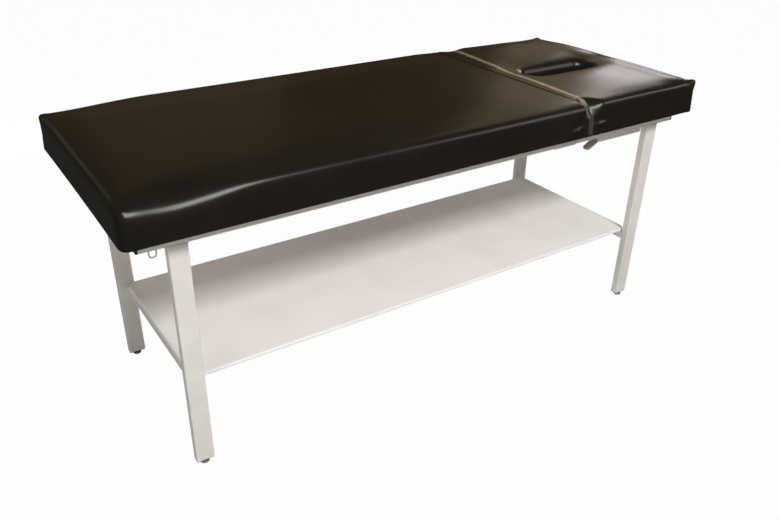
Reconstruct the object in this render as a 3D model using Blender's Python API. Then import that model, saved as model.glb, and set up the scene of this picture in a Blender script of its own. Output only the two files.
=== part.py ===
"""Treatment table: a steel tube frame on four levelling glides, a low shelf and a two-part cushioned top.

Metres, +Z up, +X towards the head end. The near side is -Y. The origin is on the floor under the middle of
the top. The head section turns about the crease between the cushions: two slotted sector plates under it
slide on guide pins on the rails, and a lever presses a brake bar against the rim of the near sector.
"""
import math
from typing import NamedTuple

import bmesh
import bpy
from mathutils import Matrix, Vector
from mathutils.bvhtree import BVHTree

# Cushioned top
TOP_LENGTH = 1.930
TOP_WIDTH = 0.770
HEAD_LENGTH = 0.519
TOP_THICKNESS = 0.101
CREASE_GAP = 0.0012
EDGE_RADIUS = 0.016
CREASE_RADIUS = 0.004
BOTTOM_RADIUS = 0.008
CORNER_RADIUS = 0.024
CROWN = 0.005
SIDE_BOW = 0.003
SIDE_TUCK = 0.0025
CORNER_LIFT = 0.003
COVER_WRAP = 0.020
DECK_THICKNESS = 0.018

# Face slot of the head cushion
SLOT_LENGTH_SHARE = 0.578
SLOT_WIDTH = 0.085
SLOT_CORNER = 0.036
LIP_RADIUS = 0.020
COLLAR_WALL = 0.008

# Steel frame
RAIL_TOP = 0.7366
FOOT_OVERHANG = 0.046
HEAD_OVERHANG = 0.004
SIDE_OVERHANG = 0.0707
LEG_FROM_RAIL_END = 0.074
TUBE_TALL = 0.0508
TUBE_WIDE = 0.0254
TUBE_WALL = 0.0017
TUBE_CORNER = 0.003
CROSS_TUBE = 0.0254
CROSS_TUBE_FROM_LEG = 0.040
CROSS_TUBE_FROM_CREASE = 0.1445

# Shelf
SHELF_TOP = 0.2804
SHELF_THICKNESS = 0.012
SHELF_END_GAP = 0.0252
SHELF_SIDE_GAP = 0.0049
SHELF_CORNER = 0.028
SHELF_EDGE = 0.004

# Tube ends and glides
PLUG_FACE = 0.006
PLUG_DEPTH = 0.022
PLUG_EDGE = 0.0015
FOOT_HEIGHT = 0.0127
INSERT_FACE = 0.0025
INSERT_DEPTH = 0.024
GLIDE_RADIUS = 0.0125
GLIDE_DISC = 0.0065
GLIDE_COLLAR = 0.0030
GLIDE_COLLAR_RADIUS = 0.0075
GLIDE_STEM_RADIUS = 0.004
GLIDE_STEM_TOP = 0.036

# Tilt mechanism, set out from the crease axis
TILT_DEGREES = 30.0
ARC_DROP = 0.0545
GUIDE_PIN_ANGLES = (-65.0, -95.0)
GUIDE_PIN_RADIUS = 0.005
PIN_HEAD_RADIUS = 0.009
PIN_HEAD = 0.004
SLOT_END_DEGREES = 0.6
SECTOR_RIM = 0.0077
SECTOR_PLATE = 0.005
SECTOR_HEEL_DEGREES = -132.0
SECTOR_TOE_DEGREES = -45.0
SECTOR_WEB_X = 0.014
SECTOR_FLANGE = 0.004
SECTOR_FLANGE_WIDTH = 0.034
GUIDE_PLATE = 0.005
GUIDE_PLATE_MARGIN = 0.012

# Lever and brake
LEVER_FROM_CREASE = 0.2235
LEVER_DROP = 0.0446
LEVER_PLATE = 0.004
LEVER_PLATE_BACK = 0.044
LEVER_PLATE_FROM_LEG = 0.0002
LEVER_PLATE_TALL = 0.078
LEVER_PLATE_CORNER = 0.006
HUB_RADIUS = 0.012
SHAFT_RADIUS = 0.005
SHAFT_HEAD_RADIUS = 0.008
SHAFT_HEAD = 0.004
CAM_RADIUS = 0.010
CAM_OFFSET = 0.008
CAM_DEGREES = 40.0
PADDLE_LENGTH = 0.097
PADDLE_WIDTH = 0.028
PADDLE_THICKNESS = 0.005
PADDLE_CORNER = 0.009
PADDLE_SLOPE = 29.0
PADDLE_OFFSET = 0.008
BRAKE_BAR_TALL = 0.016
BRAKE_BLOCK_FROM_LEVER = 0.077
BRAKE_BLOCK_LENGTH = 0.030
BRAKE_BLOCK_WALL = 0.006

# Strap over the head cushion
STRAP_WIDTH = 0.020
STRAP_THICKNESS = 0.001
STRAP_GAP = 0.0009
STRAP_STEPS = 14
STRAP_NEAR_FROM_CREASE = 0.0265
STRAP_SKEW = 0.041
STRAP_TAIL = 0.030
ANCHOR_RADIUS = 0.008
ANCHOR_HEIGHT = 0.003

# Roll hanger loops
LOOP_FROM_RAIL_END = 0.042
LOOP_HALF_WIDTH = 0.009
LOOP_DROP = 0.0138
LOOP_WIRE_RADIUS = 0.002

# Clearances
FIT_GAP = 0.0003
TURN_GAP = 0.0001
PLATE_GAP = 0.0005
ROUND_STEPS = 32

# Derived places
TOP_UNDERSIDE = RAIL_TOP + FIT_GAP
TOP_EDGE = TOP_UNDERSIDE + TOP_THICKNESS
DECK_TOP = TOP_UNDERSIDE + DECK_THICKNESS
MAIN_LENGTH = TOP_LENGTH - HEAD_LENGTH - CREASE_GAP
CREASE_X = MAIN_LENGTH - TOP_LENGTH / 2 + CREASE_GAP / 2
TILT_AXIS = Vector((CREASE_X, 0.0, TOP_EDGE - CREASE_RADIUS))
SLOT_LENGTH = HEAD_LENGTH * SLOT_LENGTH_SHARE
SLOT_CENTRE = (TOP_LENGTH - HEAD_LENGTH) / 2
RAIL_LENGTH = TOP_LENGTH - FOOT_OVERHANG - HEAD_OVERHANG
FRAME_SHIFT = (FOOT_OVERHANG - HEAD_OVERHANG) / 2
FRAME_WIDTH = TOP_WIDTH - 2 * SIDE_OVERHANG
RAIL_BOTTOM = RAIL_TOP - TUBE_TALL
RAIL_CENTRE_Y = (FRAME_WIDTH - TUBE_WIDE) / 2
RAIL_INNER_Y = FRAME_WIDTH / 2 - TUBE_WIDE
LEG_CENTRE_X = (RAIL_LENGTH - TUBE_TALL) / 2 - LEG_FROM_RAIL_END
SHELF_LENGTH = 2 * LEG_CENTRE_X + TUBE_TALL - 2 * SHELF_END_GAP
SHELF_WIDTH = 2 * (RAIL_INNER_Y - SHELF_SIDE_GAP)
ARC_RADIUS = TILT_AXIS.z - RAIL_TOP + ARC_DROP
ARC_SLOT_RADIUS = GUIDE_PIN_RADIUS + FIT_GAP
RIM_RADIUS = ARC_RADIUS + ARC_SLOT_RADIUS + SECTOR_RIM
HEEL_RADIUS = ARC_RADIUS - ARC_SLOT_RADIUS - SECTOR_RIM
GUIDE_FACE_Y = RAIL_INNER_Y - FIT_GAP - GUIDE_PLATE
SECTOR_OUTER_Y = GUIDE_FACE_Y - PLATE_GAP
SECTOR_INNER_Y = SECTOR_OUTER_Y - SECTOR_PLATE
LEVER_AXIS = Vector((CREASE_X + LEVER_FROM_CREASE, 0.0, RAIL_TOP - LEVER_DROP))
LEVER_FACE_Y = RAIL_INNER_Y - FIT_GAP - LEVER_PLATE
BAR_END_X = LEVER_AXIS.x - CAM_OFFSET * math.cos(math.radians(CAM_DEGREES)) - CAM_RADIUS - FIT_GAP


class OutlinePoint(NamedTuple):
    """One point of a rounded rectangle: place, outward normal, how far along its side and round its corner."""

    x: float
    y: float
    normal_x: float
    normal_y: float
    side: int
    bow: float
    corner: float


def clear_scene():
    """Remove every object that is in the file."""
    for item in list(bpy.data.objects):
        bpy.data.objects.remove(item, do_unlink=True)


def make_material(name, colour, roughness, metallic=0.0, alpha=1.0):
    """Make a Principled material and return it."""
    material = bpy.data.materials.new(name)
    material.use_nodes = True
    shader = material.node_tree.nodes["Principled BSDF"]
    shader.inputs["Base Color"].default_value = (*colour, 1.0)
    shader.inputs["Roughness"].default_value = roughness
    shader.inputs["Metallic"].default_value = metallic
    shader.inputs["Alpha"].default_value = alpha
    material.diffuse_color = (*colour, alpha)
    return material


def make_pivot(name, place):
    """Add an empty that a moving group hangs on."""
    pivot = bpy.data.objects.new(name, None)
    pivot.location = place
    bpy.context.scene.collection.objects.link(pivot)
    return pivot


def add(name, shape, material, location=(0.0, 0.0, 0.0), pivot=None):
    """Turn a bmesh into a named object; with a pivot, its mesh is made relative to that pivot."""
    if pivot is not None:
        bmesh.ops.translate(shape, vec=-Vector(pivot.location), verts=shape.verts)
    mesh = bpy.data.meshes.new(name)
    shape.to_mesh(mesh)
    shape.free()
    item = bpy.data.objects.new(name, mesh)
    bpy.context.scene.collection.objects.link(item)
    item.location = location
    item.parent = pivot
    finish(item, material)
    return item


def finish(item, material):
    """Give an object its material and smooth shading with sharp edges kept."""
    item.data.materials.clear()
    item.data.materials.append(material)
    item.data.polygons.foreach_set("use_smooth", [True] * len(item.data.polygons))
    item.data.set_sharp_from_angle(angle=math.radians(35.0))


def combine(target, other, operation):
    """Apply one exact Boolean to the target and remove the other object."""
    modifier = target.modifiers.new(operation.lower(), "BOOLEAN")
    modifier.operation = operation
    modifier.solver = "EXACT"
    modifier.object = other
    bpy.context.view_layer.update()
    graph = bpy.context.evaluated_depsgraph_get()
    result = bpy.data.meshes.new_from_object(target.evaluated_get(graph))
    material = target.data.materials[0]
    target.modifiers.clear()
    target.data = result
    bpy.data.objects.remove(other, do_unlink=True)
    finish(target, material)


def rounded_outline(half_x, half_y, radius, steps_x=1, steps_y=1, steps_corner=3):
    """Points round a rectangle with arc corners, anticlockwise from the lower end of its +X side."""
    corners = [(half_x - radius, radius - half_y), (half_x - radius, half_y - radius),
               (radius - half_x, half_y - radius), (radius - half_x, radius - half_y)]
    points = []
    for side in range(4):
        turn = side * math.pi / 2
        start = corners[side]
        end = corners[(side + 1) % 4]
        steps = steps_x if side % 2 else steps_y
        normal = (math.cos(turn), math.sin(turn))
        for index in range(steps):
            along = index / steps
            points.append(OutlinePoint(start[0] + (end[0] - start[0]) * along + radius * normal[0],
                                       start[1] + (end[1] - start[1]) * along + radius * normal[1],
                                       *normal, side, 1.0 - (2.0 * along - 1.0) ** 2, 0.0))
        for index in range(steps_corner):
            share = index / steps_corner
            angle = turn + share * math.pi / 2
            points.append(OutlinePoint(end[0] + radius * math.cos(angle), end[1] + radius * math.sin(angle),
                                       math.cos(angle), math.sin(angle), -1, 0.0, math.sin(share * math.pi)))
    return points


def circle_outline(radius, steps=ROUND_STEPS):
    """Corner points of a round outline in its own plane."""
    return [(radius * math.cos(2 * math.pi * index / steps), radius * math.sin(2 * math.pi * index / steps))
            for index in range(steps)]


def arc_points(centre, radius, start, end, steps):
    """Points (x, z) along an arc between two angles in degrees, both ends included."""
    angles = [math.radians(start + (end - start) * index / steps) for index in range(steps + 1)]
    return [(centre.x + radius * math.cos(angle), centre.z + radius * math.sin(angle)) for angle in angles]


def loft(rings, closed=False):
    """Skin rings of equal length; closed joins the last ring to the first, else both ends are capped."""
    shape = bmesh.new()
    rows = [[shape.verts.new(point) for point in ring] for ring in rings]
    count = len(rows[0])
    pairs = list(zip(rows, rows[1:]))
    if closed:
        pairs.append((rows[-1], rows[0]))
    else:
        shape.faces.new(rows[0])
        shape.faces.new(rows[-1])
    for lower, upper in pairs:
        for index in range(count):
            after = (index + 1) % count
            shape.faces.new((lower[index], lower[after], upper[after], upper[index]))
    bmesh.ops.recalc_face_normals(shape, faces=shape.faces)
    return shape


def prism(outline, axis, low, high):
    """Extrude an outline along X, Y or Z; its two coordinates are the other two axes in order."""
    place = {"X": lambda u, v: (low, u, v), "Y": lambda u, v: (u, low, v), "Z": lambda u, v: (u, v, low)}[axis]
    travel = {"X": Vector((1, 0, 0)), "Y": Vector((0, 1, 0)), "Z": Vector((0, 0, 1))}[axis] * (high - low)
    shape = bmesh.new()
    face = shape.faces.new([shape.verts.new(place(u, v)) for u, v in outline])
    moved = bmesh.ops.extrude_face_region(shape, geom=[face])["geom"]
    bmesh.ops.translate(shape, vec=travel, verts=[part for part in moved if isinstance(part, bmesh.types.BMVert)])
    bmesh.ops.recalc_face_normals(shape, faces=shape.faces)
    return shape


def spin_profile(profile):
    """Turn a profile of (radius, height) points, top to bottom, round the Z axis into a solid."""
    shape = bmesh.new()
    verts = [shape.verts.new((radius, 0.0, height)) for radius, height in profile]
    edges = [shape.edges.new(pair) for pair in zip(verts, verts[1:])]
    bmesh.ops.spin(shape, geom=verts + edges, cent=(0, 0, 0), axis=(0, 0, 1), angle=2 * math.pi,
                   steps=ROUND_STEPS, use_merge=True)
    bmesh.ops.remove_doubles(shape, verts=shape.verts, dist=0.00001)
    bmesh.ops.recalc_face_normals(shape, faces=shape.faces)
    return shape


def make_materials():
    """Make one material per finish and return them by name."""
    return {
        "vinyl": make_material("vinyl", (0.022, 0.020, 0.018), 0.38),
        "plywood": make_material("plywood", (0.52, 0.37, 0.21), 0.60),
        "frame_paint": make_material("frame_paint", (0.62, 0.57, 0.52), 0.42),
        "shelf_board": make_material("shelf_board", (0.72, 0.70, 0.66), 0.45),
        "black_plastic": make_material("black_plastic", (0.020, 0.020, 0.020), 0.50),
        "glide_plastic": make_material("glide_plastic", (0.090, 0.085, 0.080), 0.45),
        "plain_steel": make_material("plain_steel", (0.58, 0.58, 0.57), 0.34, 1.0),
        "loop_wire": make_material("loop_wire", (0.68, 0.68, 0.67), 0.30, 1.0),
        "strap_clear": make_material("strap_clear", (0.62, 0.52, 0.38), 0.18, 0.0, 0.55),
        "lever_paint": make_material("lever_paint", (0.64, 0.60, 0.55), 0.40),
    }


def tube(name, axis, length, size_u, size_v, centre, material):
    """Open rectangular tube along one axis; size_u and size_v are its sizes along the other two, in order."""
    order = {"X": lambda u, v, w: (w, u, v), "Y": lambda u, v, w: (u, w, v), "Z": lambda u, v, w: (u, v, w)}[axis]
    rings = []
    for inset, end in ((0.0, -1), (0.0, 1), (TUBE_WALL, 1), (TUBE_WALL, -1)):
        outline = rounded_outline(size_u / 2 - inset, size_v / 2 - inset, TUBE_CORNER - inset)
        rings.append([order(point.x, point.y, end * length / 2) for point in outline])
    return add(name, loft(rings, closed=True), material, centre)


def tube_end(name, axis, sign, face, depth, size_u, size_v, centre, material):
    """Plastic end piece: a face as large as the tube and a body that fills the tube's mouth.

    The centre is on the tube's end plane, and sign points out of the tube along the axis.
    """
    order = {"X": lambda u, v, w: (w, u, v), "Z": lambda u, v, w: (u, v, w)}[axis]
    inner = TUBE_WALL + FIT_GAP
    steps = ((inner, -depth), (inner, FIT_GAP), (0.0, FIT_GAP), (0.0, face - PLUG_EDGE), (PLUG_EDGE, face))
    rings = []
    for inset, along in steps:
        radius = max(TUBE_CORNER - inset, 0.001)
        outline = rounded_outline(size_u / 2 - inset, size_v / 2 - inset, radius)
        rings.append([order(point.x, point.y, sign * along) for point in outline])
    return add(name, loft(rings), material, centre)


def build_frame(materials):
    """Rails, legs, cross tubes, tube ends and roll hanger loops."""
    paint = materials["frame_paint"]
    plastic = materials["black_plastic"]
    rail_tube = RAIL_LENGTH - 2 * PLUG_FACE
    leg_bottom = FOOT_HEIGHT + INSERT_FACE
    leg_length = RAIL_BOTTOM - FIT_GAP - leg_bottom
    for side, place in (("near", -1), ("far", 1)):
        y = place * RAIL_CENTRE_Y
        tube(f"rail_{side}", "X", rail_tube, TUBE_WIDE, TUBE_TALL,
             (FRAME_SHIFT, y, RAIL_TOP - TUBE_TALL / 2), paint)
        for end, sign in (("foot", -1), ("head", 1)):
            mouth = (FRAME_SHIFT + sign * rail_tube / 2, y, RAIL_TOP - TUBE_TALL / 2)
            tube_end(f"rail_plug_{end}_{side}", "X", sign, PLUG_FACE, PLUG_DEPTH, TUBE_WIDE, TUBE_TALL, mouth,
                     plastic)
            leg_x = FRAME_SHIFT + sign * LEG_CENTRE_X
            tube(f"leg_{end}_{side}", "Z", leg_length, TUBE_TALL, TUBE_WIDE,
                 (leg_x, y, leg_bottom + leg_length / 2), paint)
            insert = tube_end(f"leg_insert_{end}_{side}", "Z", -1, INSERT_FACE, INSERT_DEPTH, TUBE_TALL,
                              TUBE_WIDE, (leg_x, y, leg_bottom), plastic)
            bore = add("bore", prism(circle_outline(GLIDE_STEM_RADIUS + TURN_GAP), "Z", 0.0, 1.0), plastic,
                       (leg_x, y, leg_bottom - 0.5))
            combine(insert, bore, "DIFFERENCE")
        hanger_loop(f"roll_loop_{side}", y, materials["loop_wire"])
    cross_length = 2 * (RAIL_INNER_Y - FIT_GAP)
    foot_x = FRAME_SHIFT - LEG_CENTRE_X + CROSS_TUBE_FROM_LEG
    head_x = FRAME_SHIFT + LEG_CENTRE_X + CROSS_TUBE_FROM_LEG
    crease_x = CREASE_X - CROSS_TUBE_FROM_CREASE
    for number, x in enumerate((foot_x, (foot_x + crease_x) / 2, crease_x, head_x), 1):
        tube(f"cross_tube_{number}", "Y", cross_length, CROSS_TUBE, CROSS_TUBE,
             (x, 0.0, RAIL_TOP - CROSS_TUBE / 2), paint)


def hanger_loop(name, y, material):
    """U of round wire under a rail, open across the table, for the end of a roll rod."""
    middle = FRAME_SHIFT - RAIL_LENGTH / 2 + LOOP_FROM_RAIL_END
    top = RAIL_BOTTOM - FIT_GAP
    bend = top - LOOP_DROP
    path = [(middle - LOOP_HALF_WIDTH, top)]
    path += arc_points(Vector((middle, 0.0, bend)), LOOP_HALF_WIDTH, 180.0, 360.0, 10)
    path.append((middle + LOOP_HALF_WIDTH, top))
    line = bpy.data.curves.new(name, "CURVE")
    line.dimensions = "3D"
    line.bevel_depth = LOOP_WIRE_RADIUS
    line.bevel_resolution = 2
    line.use_fill_caps = True
    spline = line.splines.new("POLY")
    spline.points.add(len(path) - 1)
    for point, (x, z) in zip(spline.points, path):
        point.co = (x, y, z, 1.0)
    line.materials.append(material)
    item = bpy.data.objects.new(name, line)
    bpy.context.scene.collection.objects.link(item)
    return item


def build_glides(materials):
    """One levelling glide under each leg, with its stem in the leg insert."""
    disc = GLIDE_DISC
    collar = disc + GLIDE_COLLAR
    profile = [(0.0, GLIDE_STEM_TOP), (GLIDE_STEM_RADIUS, GLIDE_STEM_TOP), (GLIDE_STEM_RADIUS, collar),
               (GLIDE_COLLAR_RADIUS, collar), (GLIDE_COLLAR_RADIUS, disc), (GLIDE_RADIUS - disc / 4, disc),
               (GLIDE_RADIUS, disc * 0.7), (GLIDE_RADIUS, disc * 0.3), (GLIDE_RADIUS - disc / 3, 0.0), (0.0, 0.0)]
    for end, sign in (("foot", -1), ("head", 1)):
        for side, place in (("near", -1), ("far", 1)):
            add(f"glide_{end}_{side}", spin_profile(profile), materials["glide_plastic"],
                (FRAME_SHIFT + sign * LEG_CENTRE_X, place * RAIL_CENTRE_Y, 0.0))


def build_shelf(materials):
    """Low shelf board with rounded edges on two cross bars between the legs."""
    half_x = SHELF_LENGTH / 2
    half_y = SHELF_WIDTH / 2
    rings = []
    for turn in range(0, 181, 30):
        angle = math.radians(turn - 90.0)
        inset = SHELF_EDGE * (1.0 - math.cos(angle))
        if turn < 90:
            height = SHELF_EDGE * (1.0 + math.sin(angle))
        elif turn > 90:
            height = SHELF_THICKNESS - SHELF_EDGE * (1.0 - math.sin(angle))
        else:
            height = SHELF_THICKNESS / 2
        outline = rounded_outline(half_x - inset, half_y - inset, SHELF_CORNER - inset, 1, 1, 6)
        rings.append([(point.x, point.y, height) for point in outline])
    add("shelf_board", loft(rings), materials["shelf_board"], (FRAME_SHIFT, 0.0, SHELF_TOP - SHELF_THICKNESS))
    bar_x = LEG_CENTRE_X - (TUBE_TALL - CROSS_TUBE) / 2
    bar_z = SHELF_TOP - SHELF_THICKNESS - FIT_GAP - CROSS_TUBE / 2
    for end, sign in (("foot", -1), ("head", 1)):
        tube(f"shelf_bar_{end}", "Y", 2 * (RAIL_INNER_Y - FIT_GAP), CROSS_TUBE, CROSS_TUBE,
             (FRAME_SHIFT + sign * bar_x, 0.0, bar_z), materials["frame_paint"])


def cushion_ring(outline, centre_x, inset, height, crease_side=-1, bowed=True, lift=0.0):
    """One ring of a cushion: the outline drawn in by an inset, its free sides bowed in, its corners lifted."""
    ring = []
    for point in outline:
        depth = inset
        if bowed and point.side != crease_side:
            depth += SIDE_BOW * point.bow
        ring.append(Vector((centre_x + point.x - point.normal_x * depth, point.y - point.normal_y * depth,
                            height + lift * point.corner)))
    return ring


def cushion_edge_ring(outline, centre_x, angle, crease_side):
    """One ring round the cushion's top edge, whose radius narrows to that of the crease along the crease."""
    crease_facing = math.cos(crease_side * math.pi / 2)
    ring = []
    for point in outline:
        facing = max(0.0, point.normal_x * crease_facing)
        radius = EDGE_RADIUS + (CREASE_RADIUS - EDGE_RADIUS) * facing ** 2
        inset = radius * (1.0 - math.cos(angle))
        height = TOP_EDGE - radius * (1.0 - math.sin(angle))
        ring += cushion_ring([point], centre_x, inset, height, crease_side, lift=CORNER_LIFT * math.sin(angle))
    return ring


def cushion_sides(outline, centre_x, crease_side):
    """Rings from the cushion's bottom rim up its drawn-in side and round its top edge."""
    rings = []
    for turn in (0.0, 45.0, 90.0):
        angle = math.radians(turn)
        inset = SIDE_TUCK + BOTTOM_RADIUS * (1.0 - math.sin(angle))
        height = TOP_UNDERSIDE + BOTTOM_RADIUS * (1.0 - math.cos(angle))
        rings.append(cushion_ring(outline, centre_x, inset, height, crease_side))
    for turn in (0.0, 22.5, 45.0, 67.5, 90.0):
        rings.append(cushion_edge_ring(outline, centre_x, math.radians(turn), crease_side))
    return rings


def build_main_section(materials):
    """Main deck, and the cushion that wraps over its edges."""
    half_x = MAIN_LENGTH / 2
    centre_x = half_x - TOP_LENGTH / 2
    outline = rounded_outline(half_x, TOP_WIDTH / 2, CORNER_RADIUS, 14, 8, 4)
    crease_side = 0
    rings = [cushion_ring(outline, centre_x, COVER_WRAP, DECK_TOP + FIT_GAP, bowed=False),
             cushion_ring(outline, centre_x, COVER_WRAP, TOP_UNDERSIDE, bowed=False)]
    rings += cushion_sides(outline, centre_x, crease_side)
    edge = rings[-1]
    for share in (0.80, 0.50, 0.18):
        rings.append([Vector((centre_x + (point.x - centre_x) * share, point.y * share,
                              TOP_EDGE + CROWN * (1.0 - share ** 2))) for point in edge])
    add("main_cushion", loft(rings), materials["vinyl"])
    deck = [(point.x, point.y) for point in
            cushion_ring(rounded_outline(half_x, TOP_WIDTH / 2, CORNER_RADIUS), centre_x, COVER_WRAP + FIT_GAP,
                         0.0, bowed=False)]
    add("main_deck", prism(deck, "Z", TOP_UNDERSIDE, DECK_TOP), materials["plywood"])


def build_head_section(materials, pivot):
    """Head deck and cushion, both open for the face slot, and the strap over the cushion."""
    half_x = HEAD_LENGTH / 2
    centre_x = TOP_LENGTH / 2 - half_x
    outline = rounded_outline(half_x, TOP_WIDTH / 2, CORNER_RADIUS, 10, 10, 4)
    slot = rounded_outline(SLOT_LENGTH / 2, SLOT_WIDTH / 2, SLOT_CORNER, 10, 10, 4)
    crease_side = 2
    inner = [cushion_ring(slot, SLOT_CENTRE, 0.0, TOP_UNDERSIDE, bowed=False)]
    for turn in (0.0, 30.0, 60.0, 90.0):
        angle = math.radians(turn)
        inner.append(cushion_ring(slot, SLOT_CENTRE, -LIP_RADIUS * (1.0 - math.cos(angle)),
                                  TOP_EDGE - LIP_RADIUS * (1.0 - math.sin(angle)), bowed=False))
    outer = cushion_sides(outline, centre_x, crease_side)
    outer.reverse()
    top = []
    for share in (0.3, 0.7):
        rise = CROWN * 4.0 * share * (1.0 - share)
        top.append([low.lerp(high, share) + Vector((0.0, 0.0, rise)) for low, high in zip(inner[-1], outer[0])])
    under = [cushion_ring(outline, centre_x, COVER_WRAP, TOP_UNDERSIDE, bowed=False),
             cushion_ring(outline, centre_x, COVER_WRAP, DECK_TOP + FIT_GAP, bowed=False),
             cushion_ring(slot, SLOT_CENTRE, -COLLAR_WALL, DECK_TOP + FIT_GAP, bowed=False),
             cushion_ring(slot, SLOT_CENTRE, -COLLAR_WALL, TOP_UNDERSIDE, bowed=False)]
    cushion = loft(inner + top + outer + under, closed=True)
    surface = BVHTree.FromBMesh(cushion)
    add("head_cushion", cushion, materials["vinyl"], pivot=pivot)
    deck = []
    for height in (TOP_UNDERSIDE, DECK_TOP):
        deck.append(cushion_ring(outline, centre_x, COVER_WRAP + FIT_GAP, height, bowed=False))
    for height in (DECK_TOP, TOP_UNDERSIDE):
        deck.append(cushion_ring(slot, SLOT_CENTRE, -COLLAR_WALL - FIT_GAP, height, bowed=False))
    add("head_deck", loft(deck, closed=True), materials["plywood"], pivot=pivot)
    build_strap(surface, materials, pivot)


def strap_rays():
    """Where the strap is cast onto the cushion: (y, z, outward angle) from the near side over to the far side."""
    arc_y = TOP_WIDTH / 2 - EDGE_RADIUS - SIDE_BOW
    arc_z = TOP_EDGE - EDGE_RADIUS
    side_low = TOP_UNDERSIDE + BOTTOM_RADIUS
    fold_y = TOP_WIDTH / 2 - SIDE_TUCK - BOTTOM_RADIUS
    heights = [side_low + share * (arc_z - side_low) for share in (0.3, 0.7)]
    rays = [(-fold_y, side_low, float(turn)) for turn in range(260, 179, -20)]
    rays += [(-arc_y, height, 180.0) for height in heights]
    rays += [(-arc_y, arc_z, float(turn)) for turn in range(180, 90, -9)]
    rays += [(arc_y * (step / STRAP_STEPS - 1.0), arc_z, 90.0) for step in range(2 * STRAP_STEPS + 1)]
    rays += [(arc_y, arc_z, float(turn)) for turn in range(81, -1, -9)]
    rays += [(arc_y, height, 0.0) for height in reversed(heights)]
    rays += [(fold_y, side_low, float(turn)) for turn in range(0, -81, -20)]
    return rays


def strap_row(points, out):
    """Section of the strap: its points moved out to its lower face, then back along its upper face."""
    lower = [point + out * STRAP_GAP for point in points]
    upper = [point + out * (STRAP_GAP + STRAP_THICKNESS) for point in reversed(points)]
    return lower + upper


def build_strap(surface, materials, pivot):
    """Clear strap laid on the head cushion, and the button that holds each tail under the deck."""
    half = TOP_WIDTH / 2
    near_x = CREASE_X + STRAP_NEAR_FROM_CREASE
    columns = [STRAP_WIDTH * (step / 6.0 - 0.5) for step in range(7)]
    down = Vector((0.0, 0.0, -1.0))
    fold_y = half - SIDE_TUCK - BOTTOM_RADIUS - SIDE_BOW
    tail_y = fold_y - STRAP_TAIL
    tails = {}
    for side, sign in (("near", -1), ("far", 1)):
        x = near_x + STRAP_SKEW * (1 + sign) / 2
        tails[side] = [strap_row([Vector((x + across, sign * y, TOP_UNDERSIDE)) for across in columns], down)
                       for y in (tail_y, fold_y)]
        button_top = TOP_UNDERSIDE - STRAP_GAP - STRAP_THICKNESS - FIT_GAP
        outline = [(x + u, sign * (tail_y + ANCHOR_RADIUS) + v) for u, v in circle_outline(ANCHOR_RADIUS)]
        add(f"strap_button_{side}", prism(outline, "Z", button_top - ANCHOR_HEIGHT, button_top),
            materials["black_plastic"], pivot=pivot)
    rings = tails["near"]
    for y, z, turn in strap_rays():
        out = Vector((0.0, math.cos(math.radians(turn)), math.sin(math.radians(turn))))
        x = near_x + STRAP_SKEW * (y + half) / TOP_WIDTH
        starts = [Vector((x + across, y, z)) + out * half for across in columns]
        rings.append(strap_row([surface.ray_cast(start, -out)[0] for start in starts], out))
    rings += reversed(tails["far"])
    add("strap", loft(rings), materials["strap_clear"], pivot=pivot)


def sector_outline():
    """Sector plate seen from the side: a slotted rim below, a web up to the head deck."""
    web_x = TILT_AXIS.x + SECTOR_WEB_X
    web_degrees = -math.degrees(math.acos(SECTOR_WEB_X / HEEL_RADIUS))
    heel = arc_points(TILT_AXIS, HEEL_RADIUS, SECTOR_HEEL_DEGREES, web_degrees, 12)
    rim = arc_points(TILT_AXIS, RIM_RADIUS, SECTOR_TOE_DEGREES, SECTOR_HEEL_DEGREES, 24)
    return heel + [(web_x, RAIL_TOP), (rim[0][0], RAIL_TOP)] + rim


def arc_slot_outline():
    """Arc slot that the guide pins run in, round-ended, with room for the whole tilt."""
    high = GUIDE_PIN_ANGLES[0] + SLOT_END_DEGREES
    low = GUIDE_PIN_ANGLES[1] - TILT_DEGREES - SLOT_END_DEGREES
    outer = arc_points(TILT_AXIS, ARC_RADIUS + ARC_SLOT_RADIUS, low, high, 20)
    inner = arc_points(TILT_AXIS, ARC_RADIUS - ARC_SLOT_RADIUS, high, low, 20)
    ends = []
    for angle, turn in ((high, high), (low, low + 180.0)):
        centre = TILT_AXIS + Vector((math.cos(math.radians(angle)), 0.0, math.sin(math.radians(angle)))) * ARC_RADIUS
        ends.append(arc_points(centre, ARC_SLOT_RADIUS, turn, turn + 180.0, 10)[1:-1])
    return outer + ends[0] + inner + ends[1]


def guide_pin_places():
    """Centres (x, z) of the two guide pins of one side."""
    return [arc_points(TILT_AXIS, ARC_RADIUS, angle, angle, 1)[0] for angle in GUIDE_PIN_ANGLES]


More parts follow.
